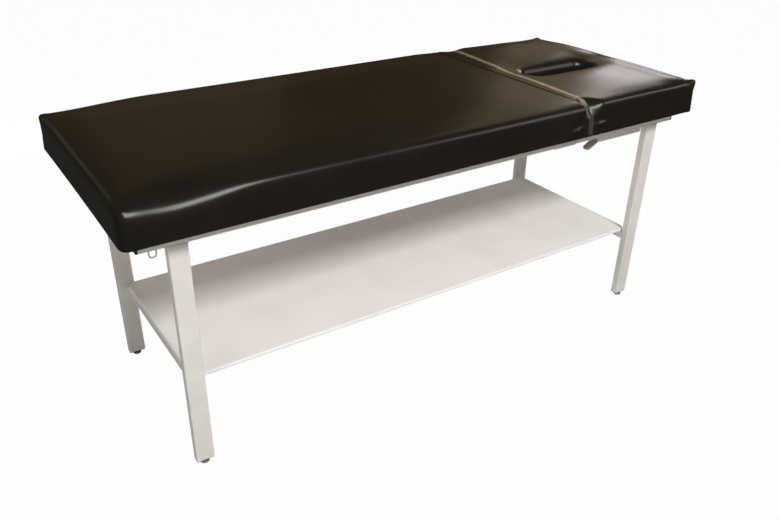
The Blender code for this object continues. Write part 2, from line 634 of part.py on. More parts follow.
def build_tilt(materials, pivot):
    """Both sectors with their guide plates and pins."""
    steel = materials["plain_steel"]
    paint = materials["frame_paint"]
    pins = guide_pin_places()
    left = min(x for x, z in pins) - GUIDE_PLATE_MARGIN
    right = max(x for x, z in pins) + GUIDE_PLATE_MARGIN
    bottom = min(z for x, z in pins) - GUIDE_PLATE_MARGIN
    top = RAIL_TOP - FIT_GAP - SECTOR_FLANGE
    web_x = TILT_AXIS.x + SECTOR_WEB_X
    toe_x = arc_points(TILT_AXIS, RIM_RADIUS, SECTOR_TOE_DEGREES, SECTOR_TOE_DEGREES, 1)[0][0]
    for side, sign in (("near", -1), ("far", 1)):
        sector = add(f"sector_{side}", prism(sector_outline(), "Y", sign * SECTOR_INNER_Y, sign * SECTOR_OUTER_Y),
                     paint, pivot=pivot)
        cutter = add("cutter", prism(arc_slot_outline(), "Y", sign * RAIL_INNER_Y, sign * SECTOR_INNER_Y / 2), paint,
                     pivot=pivot)
        combine(sector, cutter, "DIFFERENCE")
        flange = [(web_x, RAIL_TOP - SECTOR_FLANGE), (toe_x, RAIL_TOP - SECTOR_FLANGE), (toe_x, RAIL_TOP),
                  (web_x, RAIL_TOP)]
        inner_y = SECTOR_OUTER_Y - SECTOR_FLANGE_WIDTH
        combine(sector, add("flange", prism(flange, "Y", sign * inner_y, sign * SECTOR_OUTER_Y), paint, pivot=pivot),
                "UNION")
        middle = ((left + right) / 2, (bottom + top) / 2)
        plate = [(middle[0] + point.x, middle[1] + point.y) for point in
                 rounded_outline((right - left) / 2, (top - bottom) / 2, LEVER_PLATE_CORNER)]
        add(f"guide_plate_{side}", prism(plate, "Y", sign * GUIDE_FACE_Y, sign * (RAIL_INNER_Y - FIT_GAP)), paint)
        shank = GUIDE_FACE_Y - FIT_GAP
        head = SECTOR_INNER_Y - PLATE_GAP
        profile = [(0.0, shank), (GUIDE_PIN_RADIUS, shank), (GUIDE_PIN_RADIUS, head), (PIN_HEAD_RADIUS, head),
                   (PIN_HEAD_RADIUS, head - PIN_HEAD), (0.0, head - PIN_HEAD)]
        for number, (x, z) in enumerate(pins, 1):
            shape = spin_profile(profile)
            bmesh.ops.rotate(shape, cent=(0, 0, 0), matrix=Matrix.Rotation(-sign * math.pi / 2, 3, "X"),
                             verts=shape.verts)
            add(f"guide_pin_{side}_{number}", shape, steel, (x, 0.0, z))


def build_lever(materials, lever_pivot, brake_pivot):
    """Lever with its cam, its plate and shaft, and the brake bar it presses on the near sector."""
    steel = materials["plain_steel"]
    paint = materials["frame_paint"]
    lever_paint = materials["lever_paint"]
    x = LEVER_AXIS.x
    z = LEVER_AXIS.z
    hub_near = -LEVER_FACE_Y + PLATE_GAP
    hub_far = hub_near + PADDLE_WIDTH
    hub = [(x + u, z + v) for u, v in circle_outline(HUB_RADIUS)]
    lever = add("lever", prism(hub, "Y", hub_near, hub_far), lever_paint, pivot=lever_pivot)
    turn = math.radians(CAM_DEGREES)
    cam = [(x - CAM_OFFSET * math.cos(turn) + u, z - CAM_OFFSET * math.sin(turn) + v)
           for u, v in circle_outline(CAM_RADIUS)]
    combine(lever, add("cam", prism(cam, "Y", -SECTOR_OUTER_Y, -SECTOR_INNER_Y), lever_paint, pivot=lever_pivot),
            "UNION")
    half = (PADDLE_LENGTH + PADDLE_OFFSET) / 2
    paddle = [(half - PADDLE_OFFSET + point.x, point.y) for point in
              rounded_outline(half, PADDLE_WIDTH / 2, PADDLE_CORNER)]
    shape = prism(paddle, "Z", PADDLE_OFFSET, PADDLE_OFFSET + PADDLE_THICKNESS)
    bmesh.ops.rotate(shape, cent=(0, 0, 0), verts=shape.verts,
                     matrix=Matrix.Rotation(math.radians(180.0 - PADDLE_SLOPE), 3, "Y"))
    bmesh.ops.translate(shape, vec=(x, (hub_near + hub_far) / 2, z), verts=shape.verts)
    combine(lever, add("paddle", shape, lever_paint, pivot=lever_pivot), "UNION")
    bore = [(x + u, z + v) for u, v in circle_outline(SHAFT_RADIUS + TURN_GAP)]
    combine(lever, add("bore", prism(bore, "Y", hub_near - HUB_RADIUS, hub_far + HUB_RADIUS), lever_paint,
                       pivot=lever_pivot), "DIFFERENCE")
    head = -hub_far - PLATE_GAP
    shank = LEVER_FACE_Y - FIT_GAP
    profile = [(0.0, shank), (SHAFT_RADIUS, shank), (SHAFT_RADIUS, head), (SHAFT_HEAD_RADIUS, head),
               (SHAFT_HEAD_RADIUS, head - SHAFT_HEAD), (0.0, head - SHAFT_HEAD)]
    shaft = spin_profile(profile)
    bmesh.ops.rotate(shaft, cent=(0, 0, 0), matrix=Matrix.Rotation(math.pi / 2, 3, "X"), verts=shaft.verts)
    add("lever_shaft", shaft, steel, (x, 0.0, z))
    plate_start = x - LEVER_PLATE_BACK
    plate_end = FRAME_SHIFT + LEG_CENTRE_X - TUBE_TALL / 2 - LEVER_PLATE_FROM_LEG
    plate_x = (plate_start + plate_end) / 2
    plate_z = RAIL_TOP - FIT_GAP - LEVER_PLATE_TALL / 2
    plate = [(plate_x + point.x, plate_z + point.y) for point in
             rounded_outline((plate_end - plate_start) / 2, LEVER_PLATE_TALL / 2, LEVER_PLATE_CORNER)]
    add("lever_plate", prism(plate, "Y", FIT_GAP - RAIL_INNER_Y, -LEVER_FACE_Y), paint)
    build_brake(steel, paint, brake_pivot)


def build_brake(steel, paint, pivot):
    """Brake bar with a hollowed end on the near sector's rim, and the block that guides it."""
    z = LEVER_AXIS.z
    reach = RIM_RADIUS + FIT_GAP
    low = math.degrees(math.asin((z - BRAKE_BAR_TALL / 2 - TILT_AXIS.z) / reach))
    high = math.degrees(math.asin((z + BRAKE_BAR_TALL / 2 - TILT_AXIS.z) / reach))
    bar = arc_points(TILT_AXIS, reach, high, low, 8)
    bar += [(BAR_END_X, z - BRAKE_BAR_TALL / 2), (BAR_END_X, z + BRAKE_BAR_TALL / 2)]
    add("brake_bar", prism(bar, "Y", -SECTOR_OUTER_Y, -SECTOR_INNER_Y), steel, pivot=pivot)
    start = LEVER_AXIS.x - BRAKE_BLOCK_FROM_LEVER - BRAKE_BLOCK_LENGTH / 2
    half = BRAKE_BAR_TALL / 2 + FIT_GAP
    rings = []
    for wall, along in ((BRAKE_BLOCK_WALL, 0.0), (BRAKE_BLOCK_WALL, 1.0), (0.0, 1.0), (0.0, 0.0)):
        near = FIT_GAP - RAIL_INNER_Y if wall else -SECTOR_OUTER_Y - FIT_GAP
        far = -SECTOR_INNER_Y + FIT_GAP + wall
        x = start + along * BRAKE_BLOCK_LENGTH
        rings.append([(x, near, z - half - wall), (x, far, z - half - wall), (x, far, z + half + wall),
                      (x, near, z + half + wall)])
    add("brake_block", loft(rings, closed=True), paint)


def main():
    """Build the whole table."""
    clear_scene()
    materials = make_materials()
    tilt_pivot = make_pivot("tilt_pivot", TILT_AXIS)
    lever_pivot = make_pivot("lever_pivot", LEVER_AXIS)
    brake_pivot = make_pivot("brake_pivot", (BAR_END_X, 0.0, LEVER_AXIS.z))
    build_frame(materials)
    build_glides(materials)
    build_shelf(materials)
    build_main_section(materials)
    build_head_section(materials, tilt_pivot)
    build_tilt(materials, tilt_pivot)
    build_lever(materials, lever_pivot, brake_pivot)


main()
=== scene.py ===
"""Looks of the treatment table: vinyl cushions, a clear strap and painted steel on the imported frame.

Metres, +Z up, +X towards the head end, the near side at -Y. The two cushions start as rounded blocks, their
covers are blown up as cloth, drawn in where the strap crosses them, and cut out below for their decks.
"""

import logging
import math
from dataclasses import dataclass
from enum import Enum
from typing import Iterable, Optional, Sequence

import bmesh
import bpy
import numpy as np
from bmesh.types import BMEdge, BMesh, BMFace, BMVert
from bpy.types import ID, Material, Mesh, Node, NodeSocket, NodeTree, Object
from mathutils import Matrix, Vector
from mathutils.bvhtree import BVHTree


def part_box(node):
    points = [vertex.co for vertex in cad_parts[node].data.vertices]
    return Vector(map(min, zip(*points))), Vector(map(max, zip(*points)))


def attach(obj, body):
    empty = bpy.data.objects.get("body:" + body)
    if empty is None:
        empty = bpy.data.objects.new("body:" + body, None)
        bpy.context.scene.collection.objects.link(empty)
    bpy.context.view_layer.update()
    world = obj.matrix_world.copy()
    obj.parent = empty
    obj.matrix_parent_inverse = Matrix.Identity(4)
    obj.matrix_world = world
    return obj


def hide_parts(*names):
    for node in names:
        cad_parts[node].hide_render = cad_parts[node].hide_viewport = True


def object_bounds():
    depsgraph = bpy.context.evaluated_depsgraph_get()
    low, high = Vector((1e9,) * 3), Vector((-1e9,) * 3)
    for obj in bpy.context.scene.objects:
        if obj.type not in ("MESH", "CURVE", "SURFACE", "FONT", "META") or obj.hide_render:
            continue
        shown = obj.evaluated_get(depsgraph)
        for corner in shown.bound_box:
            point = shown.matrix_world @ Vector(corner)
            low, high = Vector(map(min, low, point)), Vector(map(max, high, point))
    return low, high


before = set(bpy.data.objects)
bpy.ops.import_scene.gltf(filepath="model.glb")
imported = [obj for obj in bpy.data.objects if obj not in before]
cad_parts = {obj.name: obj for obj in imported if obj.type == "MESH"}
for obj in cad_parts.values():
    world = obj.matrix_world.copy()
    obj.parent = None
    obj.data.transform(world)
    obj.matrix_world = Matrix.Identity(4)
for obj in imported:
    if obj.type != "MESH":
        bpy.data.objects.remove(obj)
CAD_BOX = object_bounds()
LOG = logging.getLogger("treatment_table")

Pair = tuple[float, float]
Triple = tuple[float, float, float]
Colour = Triple
UP = Vector((0.0, 0.0, 1.0))
NEARWARDS = (0.0, -1.0, 0.0)
WHOLE = (0.0, 1.0)
MID_SPAN = (0.3, 0.7)
TONE_SPAN = (0.35, 0.7)
SHARP_DEGREES = 40.0
COVER_DEPTH = 0.030
MILLIMETRES = 1000.0
CUT_TOLERANCE = 1e-7
TINY = 1e-9


class Body(Enum):
    """Bodies of the frame that new pieces ride on."""

    FRAME = "frame"
    HEAD = "head"


class Slot(Enum):
    """Material slots of the record."""

    VINYL = "vinyl"
    PLYWOOD = "plywood"
    FRAME_PAINT = "frame_paint"
    SHELF_BOARD = "shelf_board"
    BLACK_PLASTIC = "black_plastic"
    GLIDE_PLASTIC = "glide_plastic"
    PLAIN_STEEL = "plain_steel"
    LOOP_WIRE = "loop_wire"
    STRAP_CLEAR = "strap_clear"
    LEVER_PAINT = "lever_paint"


class Side(Enum):
    """The two long sides of the table, by the sign of Y."""

    NEAR = -1
    FAR = 1


class NodeSheet:
    """A material's node tree, with short ways to add nodes and join them to its shader."""

    def __init__(self, name: str) -> None:
        """Starts a material with one shader that reads object coordinates.

        Args:
            name: the material's name.
        """
        self.material = bpy.data.materials.new(name)
        self.material.use_nodes = True
        self.tree = self.material.node_tree
        self.shader = self.tree.nodes["Principled BSDF"]
        self.coordinates = self.add("ShaderNodeTexCoord").outputs["Object"]

    def add(self, kind: str) -> Node:
        """Adds one node of a kind."""
        return self.tree.nodes.new(kind)

    def link(self, source: NodeSocket, target: NodeSocket) -> None:
        """Joins two sockets."""
        self.tree.links.new(source, target)

    def set(self, **values: object) -> None:
        """Sets plain values on the shader's own sockets, with spaces for underscores."""
        for name, value in values.items():
            self.shader.inputs[name.replace("_", " ")].default_value = value

    def drive(self, socket: str, source: NodeSocket) -> None:
        """Joins a source to one of the shader's sockets."""
        self.link(source, self.shader.inputs[socket])

    def stretched(self, stretch: Sequence[float]) -> NodeSocket:
        """Adds object coordinates with each axis scaled.

        Args:
            stretch: scale of X, Y and Z.

        Returns:
            The scaled coordinates.
        """
        mapping = self.add("ShaderNodeMapping")
        mapping.inputs["Scale"].default_value = stretch
        self.link(self.coordinates, mapping.inputs["Vector"])
        return mapping.outputs["Vector"]

    def noise(self, size: float, detail: float = 2.0, stretch: Sequence[float] = (1, 1, 1)) -> NodeSocket:
        """Soft noise.

        Args:
            size: width of one blotch in metres.
            detail: octaves of finer noise in it.
            stretch: scale of each axis, where a larger value gives narrower blotches.

        Returns:
            The noise value from 0 to 1.
        """
        noise = self.add("ShaderNodeTexNoise")
        noise.inputs["Scale"].default_value = 1.0 / size
        noise.inputs["Detail"].default_value = detail
        self.link(self.stretched(stretch), noise.inputs["Vector"])
        return noise.outputs["Fac"]

    def cells(self, size: float) -> NodeSocket:
        """Adds the distance from the middles of scattered cells.

        Args:
            size: width of one cell in metres.

        Returns:
            The distance.
        """
        cells = self.add("ShaderNodeTexVoronoi")
        cells.feature = "SMOOTH_F1"
        cells.inputs["Scale"].default_value = 1.0 / size
        self.link(self.coordinates, cells.inputs["Vector"])
        return cells.outputs["Distance"]

    def height(self) -> NodeSocket:
        """Adds the height above the floor.

        Returns:
            The height in metres.
        """
        split = self.add("ShaderNodeSeparateXYZ")
        self.link(self.coordinates, split.inputs["Vector"])
        return split.outputs["Z"]

    def spread(self, value: NodeSocket, span: Sequence[float], onto: Sequence[float]) -> NodeSocket:
        """Maps a value smoothly from one span onto another, and holds it at their ends.

        Args:
            value: the value.
            span: its two ends.
            onto: the two ends that they become.

        Returns:
            The mapped value.
        """
        node = self.add("ShaderNodeMapRange")
        node.interpolation_type = "SMOOTHSTEP"
        ends = (*span, *onto)
        for socket, end in zip(("From Min", "From Max", "To Min", "To Max"), ends):
            node.inputs[socket].default_value = end
        self.link(value, node.inputs["Value"])
        return node.outputs["Result"]

    def times(self, first: NodeSocket, second: NodeSocket) -> NodeSocket:
        """Multiplies two values.

        Args:
            first: one value.
            second: the other value.

        Returns:
            Their product.
        """
        node = self.add("ShaderNodeMath")
        node.operation = "MULTIPLY"
        self.link(first, node.inputs[0])
        self.link(second, node.inputs[1])
        return node.outputs["Value"]

    def mix(self, share: NodeSocket, first: object, second: Colour) -> NodeSocket:
        """Blends two colours.

        Args:
            share: share of the second, from 0 to 1.
            first: a colour, or a socket that gives one.
            second: the other colour.

        Returns:
            The blended colour.
        """
        node = self.add("ShaderNodeMix")
        node.data_type = "RGBA"
        factor, low, high = node.inputs[0], node.inputs[6], node.inputs[7]
        self.link(share, factor)
        if isinstance(first, NodeSocket):
            self.link(first, low)
        else:
            low.default_value = (*first, 1.0)
        high.default_value = (*second, 1.0)
        return node.outputs[2]

    def mottle(self, size: float, span: Pair, first: Colour, second: Colour, detail: float) -> NodeSocket:
        """Two colours in soft blotches of a size in metres, blended over a span of their noise."""
        return self.mix(self.spread(self.noise(size, detail), span, WHOLE), first, second)

    def roughen(self, size: float, roughness: Pair, detail: float) -> None:
        """Lets the shader's roughness wander between two values in blotches of a size in metres."""
        self.drive("Roughness", self.spread(self.noise(size, detail), MID_SPAN, roughness))

    def bump(self, relief: NodeSocket, depth: float, under: Optional[NodeSocket] = None) -> NodeSocket:
        """Raises the surface by a relief.

        Args:
            relief: the relief, from 0 to 1.
            depth: its depth in metres.
            under: the normal of a relief that it lies on.

        Returns:
            The normal.
        """
        node = self.add("ShaderNodeBump")
        node.inputs["Distance"].default_value = depth
        self.link(relief, node.inputs["Height"])
        if under is not None:
            self.link(under, node.inputs["Normal"])
        return node.outputs["Normal"]


@dataclass(frozen=True)
class VinylFinish:
    """Upholstery vinyl with a pressed leather grain and slow waves where it is stretched."""

    name: str
    colour: Colour
    rubbed: Colour
    roughness: Pair
    specular: float
    grain: float = 0.0014
    grain_depth: float = 0.00004
    wave: float = 0.11
    wave_depth: float = 0.0003
    patch: float = 0.16
    patch_span: Pair = (0.38, 0.68)

    def make(self) -> Material:
        """Makes the material.

        Returns:
            The material.
        """
        sheet = NodeSheet(self.name)
        sheet.set(Specular_IOR_Level=self.specular)
        tone = sheet.mottle(self.patch, self.patch_span, self.colour, self.rubbed, detail=4.0)
        sheet.drive("Base Color", tone)
        sheet.roughen(self.patch, self.roughness, detail=1.0)
        waves = sheet.bump(sheet.noise(self.wave, detail=1.0), self.wave_depth)
        grain = sheet.bump(sheet.cells(self.grain), self.grain_depth, waves)
        sheet.drive("Normal", grain)
        return sheet.material


@dataclass(frozen=True)
class PaintFinish:
    """Powder coat with a fine orange peel, a little uneven in colour and scuffed near the floor."""

    name: str
    colour: Colour
    shade: Colour
    scuff: Colour
    roughness: Pair
    specular: float = 0.42
    blotch: float = 0.13
    cloud: float = 0.03
    peel: float = 0.0022
    peel_depth: float = 0.00010
    mark: float = 0.011
    mark_stretch: Triple = (1.0, 1.0, 0.35)
    mark_span: Pair = (0.62, 0.76)
    mark_strength: float = 0.35
    scuff_height: float = 0.20
    scuff_above: float = 0.08

    def make(self) -> Material:
        """Makes the material.

        Returns:
            The material.
        """
        sheet = NodeSheet(self.name)
        sheet.set(Specular_IOR_Level=self.specular)
        coat = sheet.mottle(self.blotch, TONE_SPAN, self.colour, self.shade, detail=3.0)
        low_down = sheet.spread(sheet.height(), (0.0, self.scuff_height), (1.0, self.scuff_above))
        streaks = sheet.noise(self.mark, detail=6.0, stretch=self.mark_stretch)
        marks = sheet.spread(streaks, self.mark_span, (0.0, self.mark_strength))
        sheet.drive("Base Color", sheet.mix(sheet.times(low_down, marks), coat, self.scuff))
        sheet.roughen(self.cloud, self.roughness, detail=4.0)
        sheet.drive("Normal", sheet.bump(sheet.noise(self.peel, detail=2.0), self.peel_depth))
        return sheet.material


@dataclass(frozen=True)
class PlasticFinish:
    """Moulded plastic with a fine spark texture and dusty patches."""

    name: str
    colour: Colour
    dust: Colour
    roughness: Pair
    dust_patch: float = 0.008
    dust_span: Pair = (0.45, 0.75)
    dust_strength: float = 0.6
    cloud: float = 0.004
    spark: float = 0.0009
    spark_depth: float = 0.00006

    def make(self) -> Material:
        """Makes the material.

        Returns:
            The material.
        """
        sheet = NodeSheet(self.name)
        patches = sheet.noise(self.dust_patch, detail=4.0)
        dusty = sheet.spread(patches, self.dust_span, (0.0, self.dust_strength))
        sheet.drive("Base Color", sheet.mix(dusty, self.colour, self.dust))
        sheet.roughen(self.cloud, self.roughness, detail=3.0)
        sheet.drive("Normal", sheet.bump(sheet.noise(self.spark, detail=2.0), self.spark_depth))
        return sheet.material


@dataclass(frozen=True)
class SteelFinish:
    """Zinc plated or bright drawn steel with fine lines and a slightly cloudy tone."""

    name: str
    colour: Colour
    cloud: Colour
    roughness: Pair
    metallic: float = 1.0
    patch: float = 0.010
    haze: float = 0.003
    line: float = 0.0012
    line_stretch: Triple = (0.1, 1.0, 1.0)
    line_depth: float = 0.00004

    def make(self) -> Material:
        """Makes the material.

        Returns:
            The material.
        """
        sheet = NodeSheet(self.name)
        sheet.set(Metallic=self.metallic)
        sheet.drive("Base Color", sheet.mottle(self.patch, TONE_SPAN, self.colour, self.cloud, detail=4.0))
        sheet.roughen(self.haze, self.roughness, detail=4.0)
        lines = sheet.noise(self.line, detail=2.0, stretch=self.line_stretch)
        sheet.drive("Normal", sheet.bump(lines, self.line_depth))
        return sheet.material


@dataclass(frozen=True)
class PlyFinish:
    """Bare plywood: long grain along the table and thin dark plies on its edges."""

    name: str
    colour: Colour
    late: Colour
    specular: float = 0.3
    roughness: Pair = (0.62, 0.78)
    fibre: float = 0.020
    fibre_stretch: Triple = (0.06, 1.0, 0.2)
    fibre_span: Pair = (0.38, 0.64)
    ply: float = 0.0045
    ply_stretch: Triple = (0.01, 0.01, 1.0)
    ply_span: Pair = (0.50, 0.60)
    ply_strength: float = 0.35
    pore: float = 0.0016
    pore_stretch: Triple = (0.05, 1.0, 1.0)
    pore_depth: float = 0.00012

    def make(self) -> Material:
        """Makes the material.

        Returns:
            The material.
        """
        sheet = NodeSheet(self.name)
        sheet.set(Specular_IOR_Level=self.specular)
        fibres = sheet.noise(self.fibre, detail=5.0, stretch=self.fibre_stretch)
        grain = sheet.mix(sheet.spread(fibres, self.fibre_span, WHOLE), self.colour, self.late)
        plies = sheet.noise(self.ply, detail=0.0, stretch=self.ply_stretch)
        edge = sheet.spread(plies, self.ply_span, (0.0, self.ply_strength))
        sheet.drive("Base Color", sheet.mix(edge, grain, self.late))
        sheet.drive("Roughness", sheet.spread(fibres, MID_SPAN, self.roughness))
        pores = sheet.noise(self.pore, detail=3.0, stretch=self.pore_stretch)
        sheet.drive("Normal", sheet.bump(pores, self.pore_depth))
        return sheet.material


@dataclass(frozen=True)
class ClearFinish:
    """Clear soft plastic with faint lengthwise drawing lines, painted tan on top as a painted sheen and
    dark on its sides below as painted shade.
    """

    name: str
    colour: Colour
    top_sheen_tone: Colour
    side: Colour
    clearness: float
    roughness: Pair
    # Heights over which the painted tan sheen of the top turns into the painted shade of the sides.
    sheen_to_shade_heights: Pair = (0.814, 0.833)
    ior: float = 1.45
    blotch: float = 0.05
    cloud: float = 0.012
    line: float = 0.0022
    line_stretch: Triple = (1.0, 0.05, 0.05)
    line_depth: float = 0.00005

    def make(self) -> Material:
        """Makes the material.

        Returns:
            The material.
        """
        sheet = NodeSheet(self.name)
        sheet.set(Transmission_Weight=self.clearness, IOR=self.ior)
        # Painted sheen: the top is painted tan in random blotches for the grazing light it catches; below
        # the top edge the base turns to the dark side colour as painted shade.
        on_top = sheet.mottle(self.blotch, TONE_SPAN, self.colour, self.top_sheen_tone, detail=3.0)
        below = sheet.spread(sheet.height(), self.sheen_to_shade_heights, (1.0, 0.0))
        sheet.drive("Base Color", sheet.mix(below, on_top, self.side))
        sheet.roughen(self.cloud, self.roughness, detail=3.0)
        lines = sheet.noise(self.line, detail=1.0, stretch=self.line_stretch)
        sheet.drive("Normal", sheet.bump(lines, self.line_depth))
        return sheet.material


FINISHES = {
    Slot.VINYL: VinylFinish("vinyl_black", (0.0082, 0.0075, 0.0062), (0.0098, 0.0086, 0.0068),
                            (0.25, 0.28), 0.42),
    Slot.PLYWOOD: PlyFinish("plywood_bare", (0.56, 0.40, 0.23), (0.36, 0.22, 0.11)),
    Slot.FRAME_PAINT: PaintFinish("paint_warm_grey", (0.650, 0.622, 0.590), (0.610, 0.583, 0.548),
                                  (0.30, 0.27, 0.24), (0.36, 0.48)),
    Slot.SHELF_BOARD: VinylFinish("shelf_cover_white", (0.775, 0.762, 0.750), (0.74, 0.727, 0.710),
                                  (0.46, 0.58), 0.35, grain=0.0018, wave=0.15, wave_depth=0.0012),
    Slot.BLACK_PLASTIC: PlasticFinish("plastic_black", (0.014, 0.014, 0.014), (0.035, 0.033, 0.030),
                                      (0.38, 0.55)),
    Slot.GLIDE_PLASTIC: PlasticFinish("plastic_grey", (0.16, 0.145, 0.13), (0.23, 0.21, 0.195),
                                      (0.30, 0.45)),
    Slot.PLAIN_STEEL: SteelFinish("zinc_plate", (0.62, 0.62, 0.61), (0.50, 0.51, 0.53), (0.26, 0.40)),
    Slot.LOOP_WIRE: SteelFinish("pale_wire", (0.74, 0.73, 0.70), (0.64, 0.63, 0.60), (0.30, 0.42), 0.25),
    # The strap's tan top colours are a painted sheen, and its dark side colour is painted shade.
    Slot.STRAP_CLEAR: ClearFinish("strap_clear_tan", (0.80, 0.66, 0.44), (0.70, 0.56, 0.35),
                                  (0.12, 0.108, 0.090), 0.70, (0.08, 0.14)),
    # Painted shade: the lever's paint is a darker copy of the frame's warm grey, standing in for the shadow
    # on the paddle.
    Slot.LEVER_PAINT: PaintFinish("paint_lever_shaded", (0.44, 0.41, 0.35), (0.37, 0.34, 0.285),
                                  (0.62, 0.58, 0.52), (0.34, 0.46), scuff_height=0.60),
}


def smooth(share: np.ndarray) -> np.ndarray:
    """Smooth step of values that are held between 0 and 1."""
    held = np.clip(share, 0.0, 1.0)
    return held * held * (3.0 - 2.0 * held)


def read_points(mesh: Mesh) -> np.ndarray:
    """Reads a mesh's points.

    Args:
        mesh: the mesh.

    Returns:
        Rows of X, Y and Z.
    """
    points = np.empty(len(mesh.vertices) * 3)
    mesh.vertices.foreach_get("co", points)
    return points.reshape(-1, 3)


def write_points(mesh: Mesh, points: np.ndarray) -> None:
    """Moves a mesh's points."""
    mesh.vertices.foreach_set("co", points.ravel())
    mesh.update()


def evened(mesh: Mesh, moves: np.ndarray, rounds: int) -> np.ndarray:
    """Evens out the moves of a mesh's points between neighbours.

    Args:
        mesh: the mesh whose edges join the neighbours.
        moves: one row of X, Y and Z for each point.
        rounds: how often each move is averaged with its neighbours'.

    Returns:
        The evened moves.
    """
    ends = np.empty(len(mesh.edges) * 2, dtype=np.int32)
    mesh.edges.foreach_get("vertices", ends)
    first, second = ends.reshape(-1, 2).T
    count = np.bincount(ends, minlength=len(moves))[:, None]
    for _ in range(rounds):
        total = np.zeros_like(moves)
        np.add.at(total, first, moves[second])
        np.add.at(total, second, moves[first])
        moves = (moves + total / count) / 2
    return moves


def pull(points: np.ndarray, centre: Sequence[float], move: Sequence[float], reach: Sequence[float],
         sharpness: float = 1.0) -> None:
    """Moves the points round a centre, most there and not at all past a reach.

    Args:
        points: rows of X, Y and Z, changed in place.
        centre: the point that moves the whole way.
        move: the whole move.
        reach: how far the pull goes along X, Y and Z.
        sharpness: power of the fall-off, where more gives a sharper point.
    """
    away = np.linalg.norm((points - np.array(centre)) / np.array(reach), axis=1)
    points += np.outer(smooth(1.0 - away) ** sharpness, move)


def crumple(points: np.ndarray, start: Sequence[float], end: Sequence[float], outwards: Sequence[float],
            height: float, width: float) -> None:
    """Raises one soft fold of the cover between two points, with a shallow valley on each side of it.

    Args:
        points: rows of X, Y and Z, changed in place.
        start: first end of the fold, on the cover.
        end: second end of the fold, on the cover.
        outwards: unit direction out of the cover.
        height: height of the fold.
        width: half width of the fold.
    """
    line = np.array(end) - np.array(start)
    length = np.linalg.norm(line)
    line = line / length
    normal = np.array(outwards)
    sideways = np.cross(line, normal)
    from_start = points - np.array(start)
    along = np.clip(from_start @ line / length, 0.0, 1.0)
    across = (from_start @ sideways / width) ** 2
    on_cover = smooth(1.0 - np.abs(from_start @ normal) / COVER_DEPTH)
    profile = (1.0 - across) * np.exp(-across)
    points += np.outer(height * np.sin(math.pi * along) * profile * on_cover, normal)


def placed(name: str, data: ID) -> Object:
    """Makes an object and links it to the scene.

    Args:
        name: its name.
        data: its mesh, light or camera.

    Returns:
        The object.
    """
    made = bpy.data.objects.new(name, data)
    bpy.context.scene.collection.objects.link(made)
    return made


def add_rod(shape: BMesh, radius: float, length: float, sides: int, matrix: Matrix) -> list[BMVert]:
    """Adds a closed round rod along its own Z and returns its vertices."""
    return bmesh.ops.create_cone(shape, cap_ends=True, segments=sides, radius1=radius, radius2=radius,
                                 depth=length, matrix=matrix)["verts"]


def add_piece(name: str, mesh: Mesh, finish: Material, body: Body,
              replaces: Iterable[str] = ()) -> Object:
    """Puts a finished mesh in the scene as a piece that rides on a body.

    Args:
        name: the piece's name.
        mesh: its mesh, in place.
        finish: its material.
        body: the body that it moves with.
        replaces: the frame's nodes that it stands for.

    Returns:
        The piece.
    """
    piece = placed(name, mesh)
    mesh.materials.clear()
    mesh.materials.append(finish)
    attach(piece, body.value)
    if replaces:
        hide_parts(*replaces)
    LOG.info("%s: %d faces on %s", name, len(mesh.polygons), body.value)
    return piece


def mesh_from(shape: BMesh, name: str) -> Mesh:
    """Turns a bmesh into a mesh with smooth round faces and frees it.

    Args:
        shape: the bmesh.
        name: the mesh's name.

    Returns:
        The mesh.
    """
    mesh = bpy.data.meshes.new(name)
    shape.to_mesh(mesh)
    shape.free()
    mesh.shade_smooth()
    mesh.set_sharp_from_angle(angle=math.radians(SHARP_DEGREES))
    return mesh


def bevelled(shape: BMesh, geometry: Sequence[BMVert | BMEdge], radius: float, segments: int,
             affect: str = "EDGES") -> list[BMVert]:
    """Rounds edges, or the corners of a flat outline.

    Args:
        shape: the bmesh that holds them.
        geometry: the edges or corners.
        radius: radius of the rounding.
        segments: faces round it.
        affect: EDGES or VERTICES.

    Returns:
        The new vertices.
    """
    return bmesh.ops.bevel(shape, geom=geometry, offset=radius, offset_type="OFFSET", affect=affect,
                           segments=segments, profile=0.5, material=-1)["verts"]


def round_rectangle(shape: BMesh, low: Sequence[float], high: Sequence[float], height: float,
                    radius: float = 0.0) -> list[BMVert]:
    """Adds a flat rectangle, with round corners unless the radius is 0.

    Args:
        shape: the bmesh to add to.
        low: lowest X and Y.
        high: highest X and Y.
        height: its Z.
        radius: corner radius.

    Returns:
        The new vertices.
    """
    before = set(shape.verts)
    corners = bmesh.ops.create_grid(shape, x_segments=1, y_segments=1, size=0.5)["verts"]
    bmesh.ops.scale(shape, vec=(high[0] - low[0], high[1] - low[1], 1.0), verts=corners)
    bmesh.ops.translate(shape, vec=((low[0] + high[0]) / 2, (low[1] + high[1]) / 2, height), verts=corners)
    if radius > 0.0:
        bevelled(shape, corners, radius, segments=8, affect="VERTICES")
    return [vert for vert in shape.verts if vert not in before]


def opened(shape: BMesh, rim: Iterable[BMVert]) -> list[BMEdge]:
    """Takes the flat face out of a loop of vertices.

    Args:
        shape: the bmesh.
        rim: the loop's vertices.

    Returns:
        The loop's edges.
    """
    rim = list(rim)
    faces = list({face for vert in rim for face in vert.link_faces})
    bmesh.ops.delete(shape, geom=faces, context="FACES_ONLY")
    return list({edge for vert in rim for edge in vert.link_edges})


def evaluated_mesh(piece: Object) -> Mesh:
    """Returns a copy of a piece's mesh with its modifiers applied."""
    graph = bpy.context.evaluated_depsgraph_get()
    return bpy.data.meshes.new_from_object(piece.evaluated_get(graph))


def bake_modifiers(piece: Object) -> None:
    """Applies all modifiers of a piece to its mesh.

    Args:
        piece: the piece.
    """
    baked = evaluated_mesh(piece)
    piece.modifiers.clear()
    old = piece.data
    piece.data = baked
    bpy.data.meshes.remove(old)


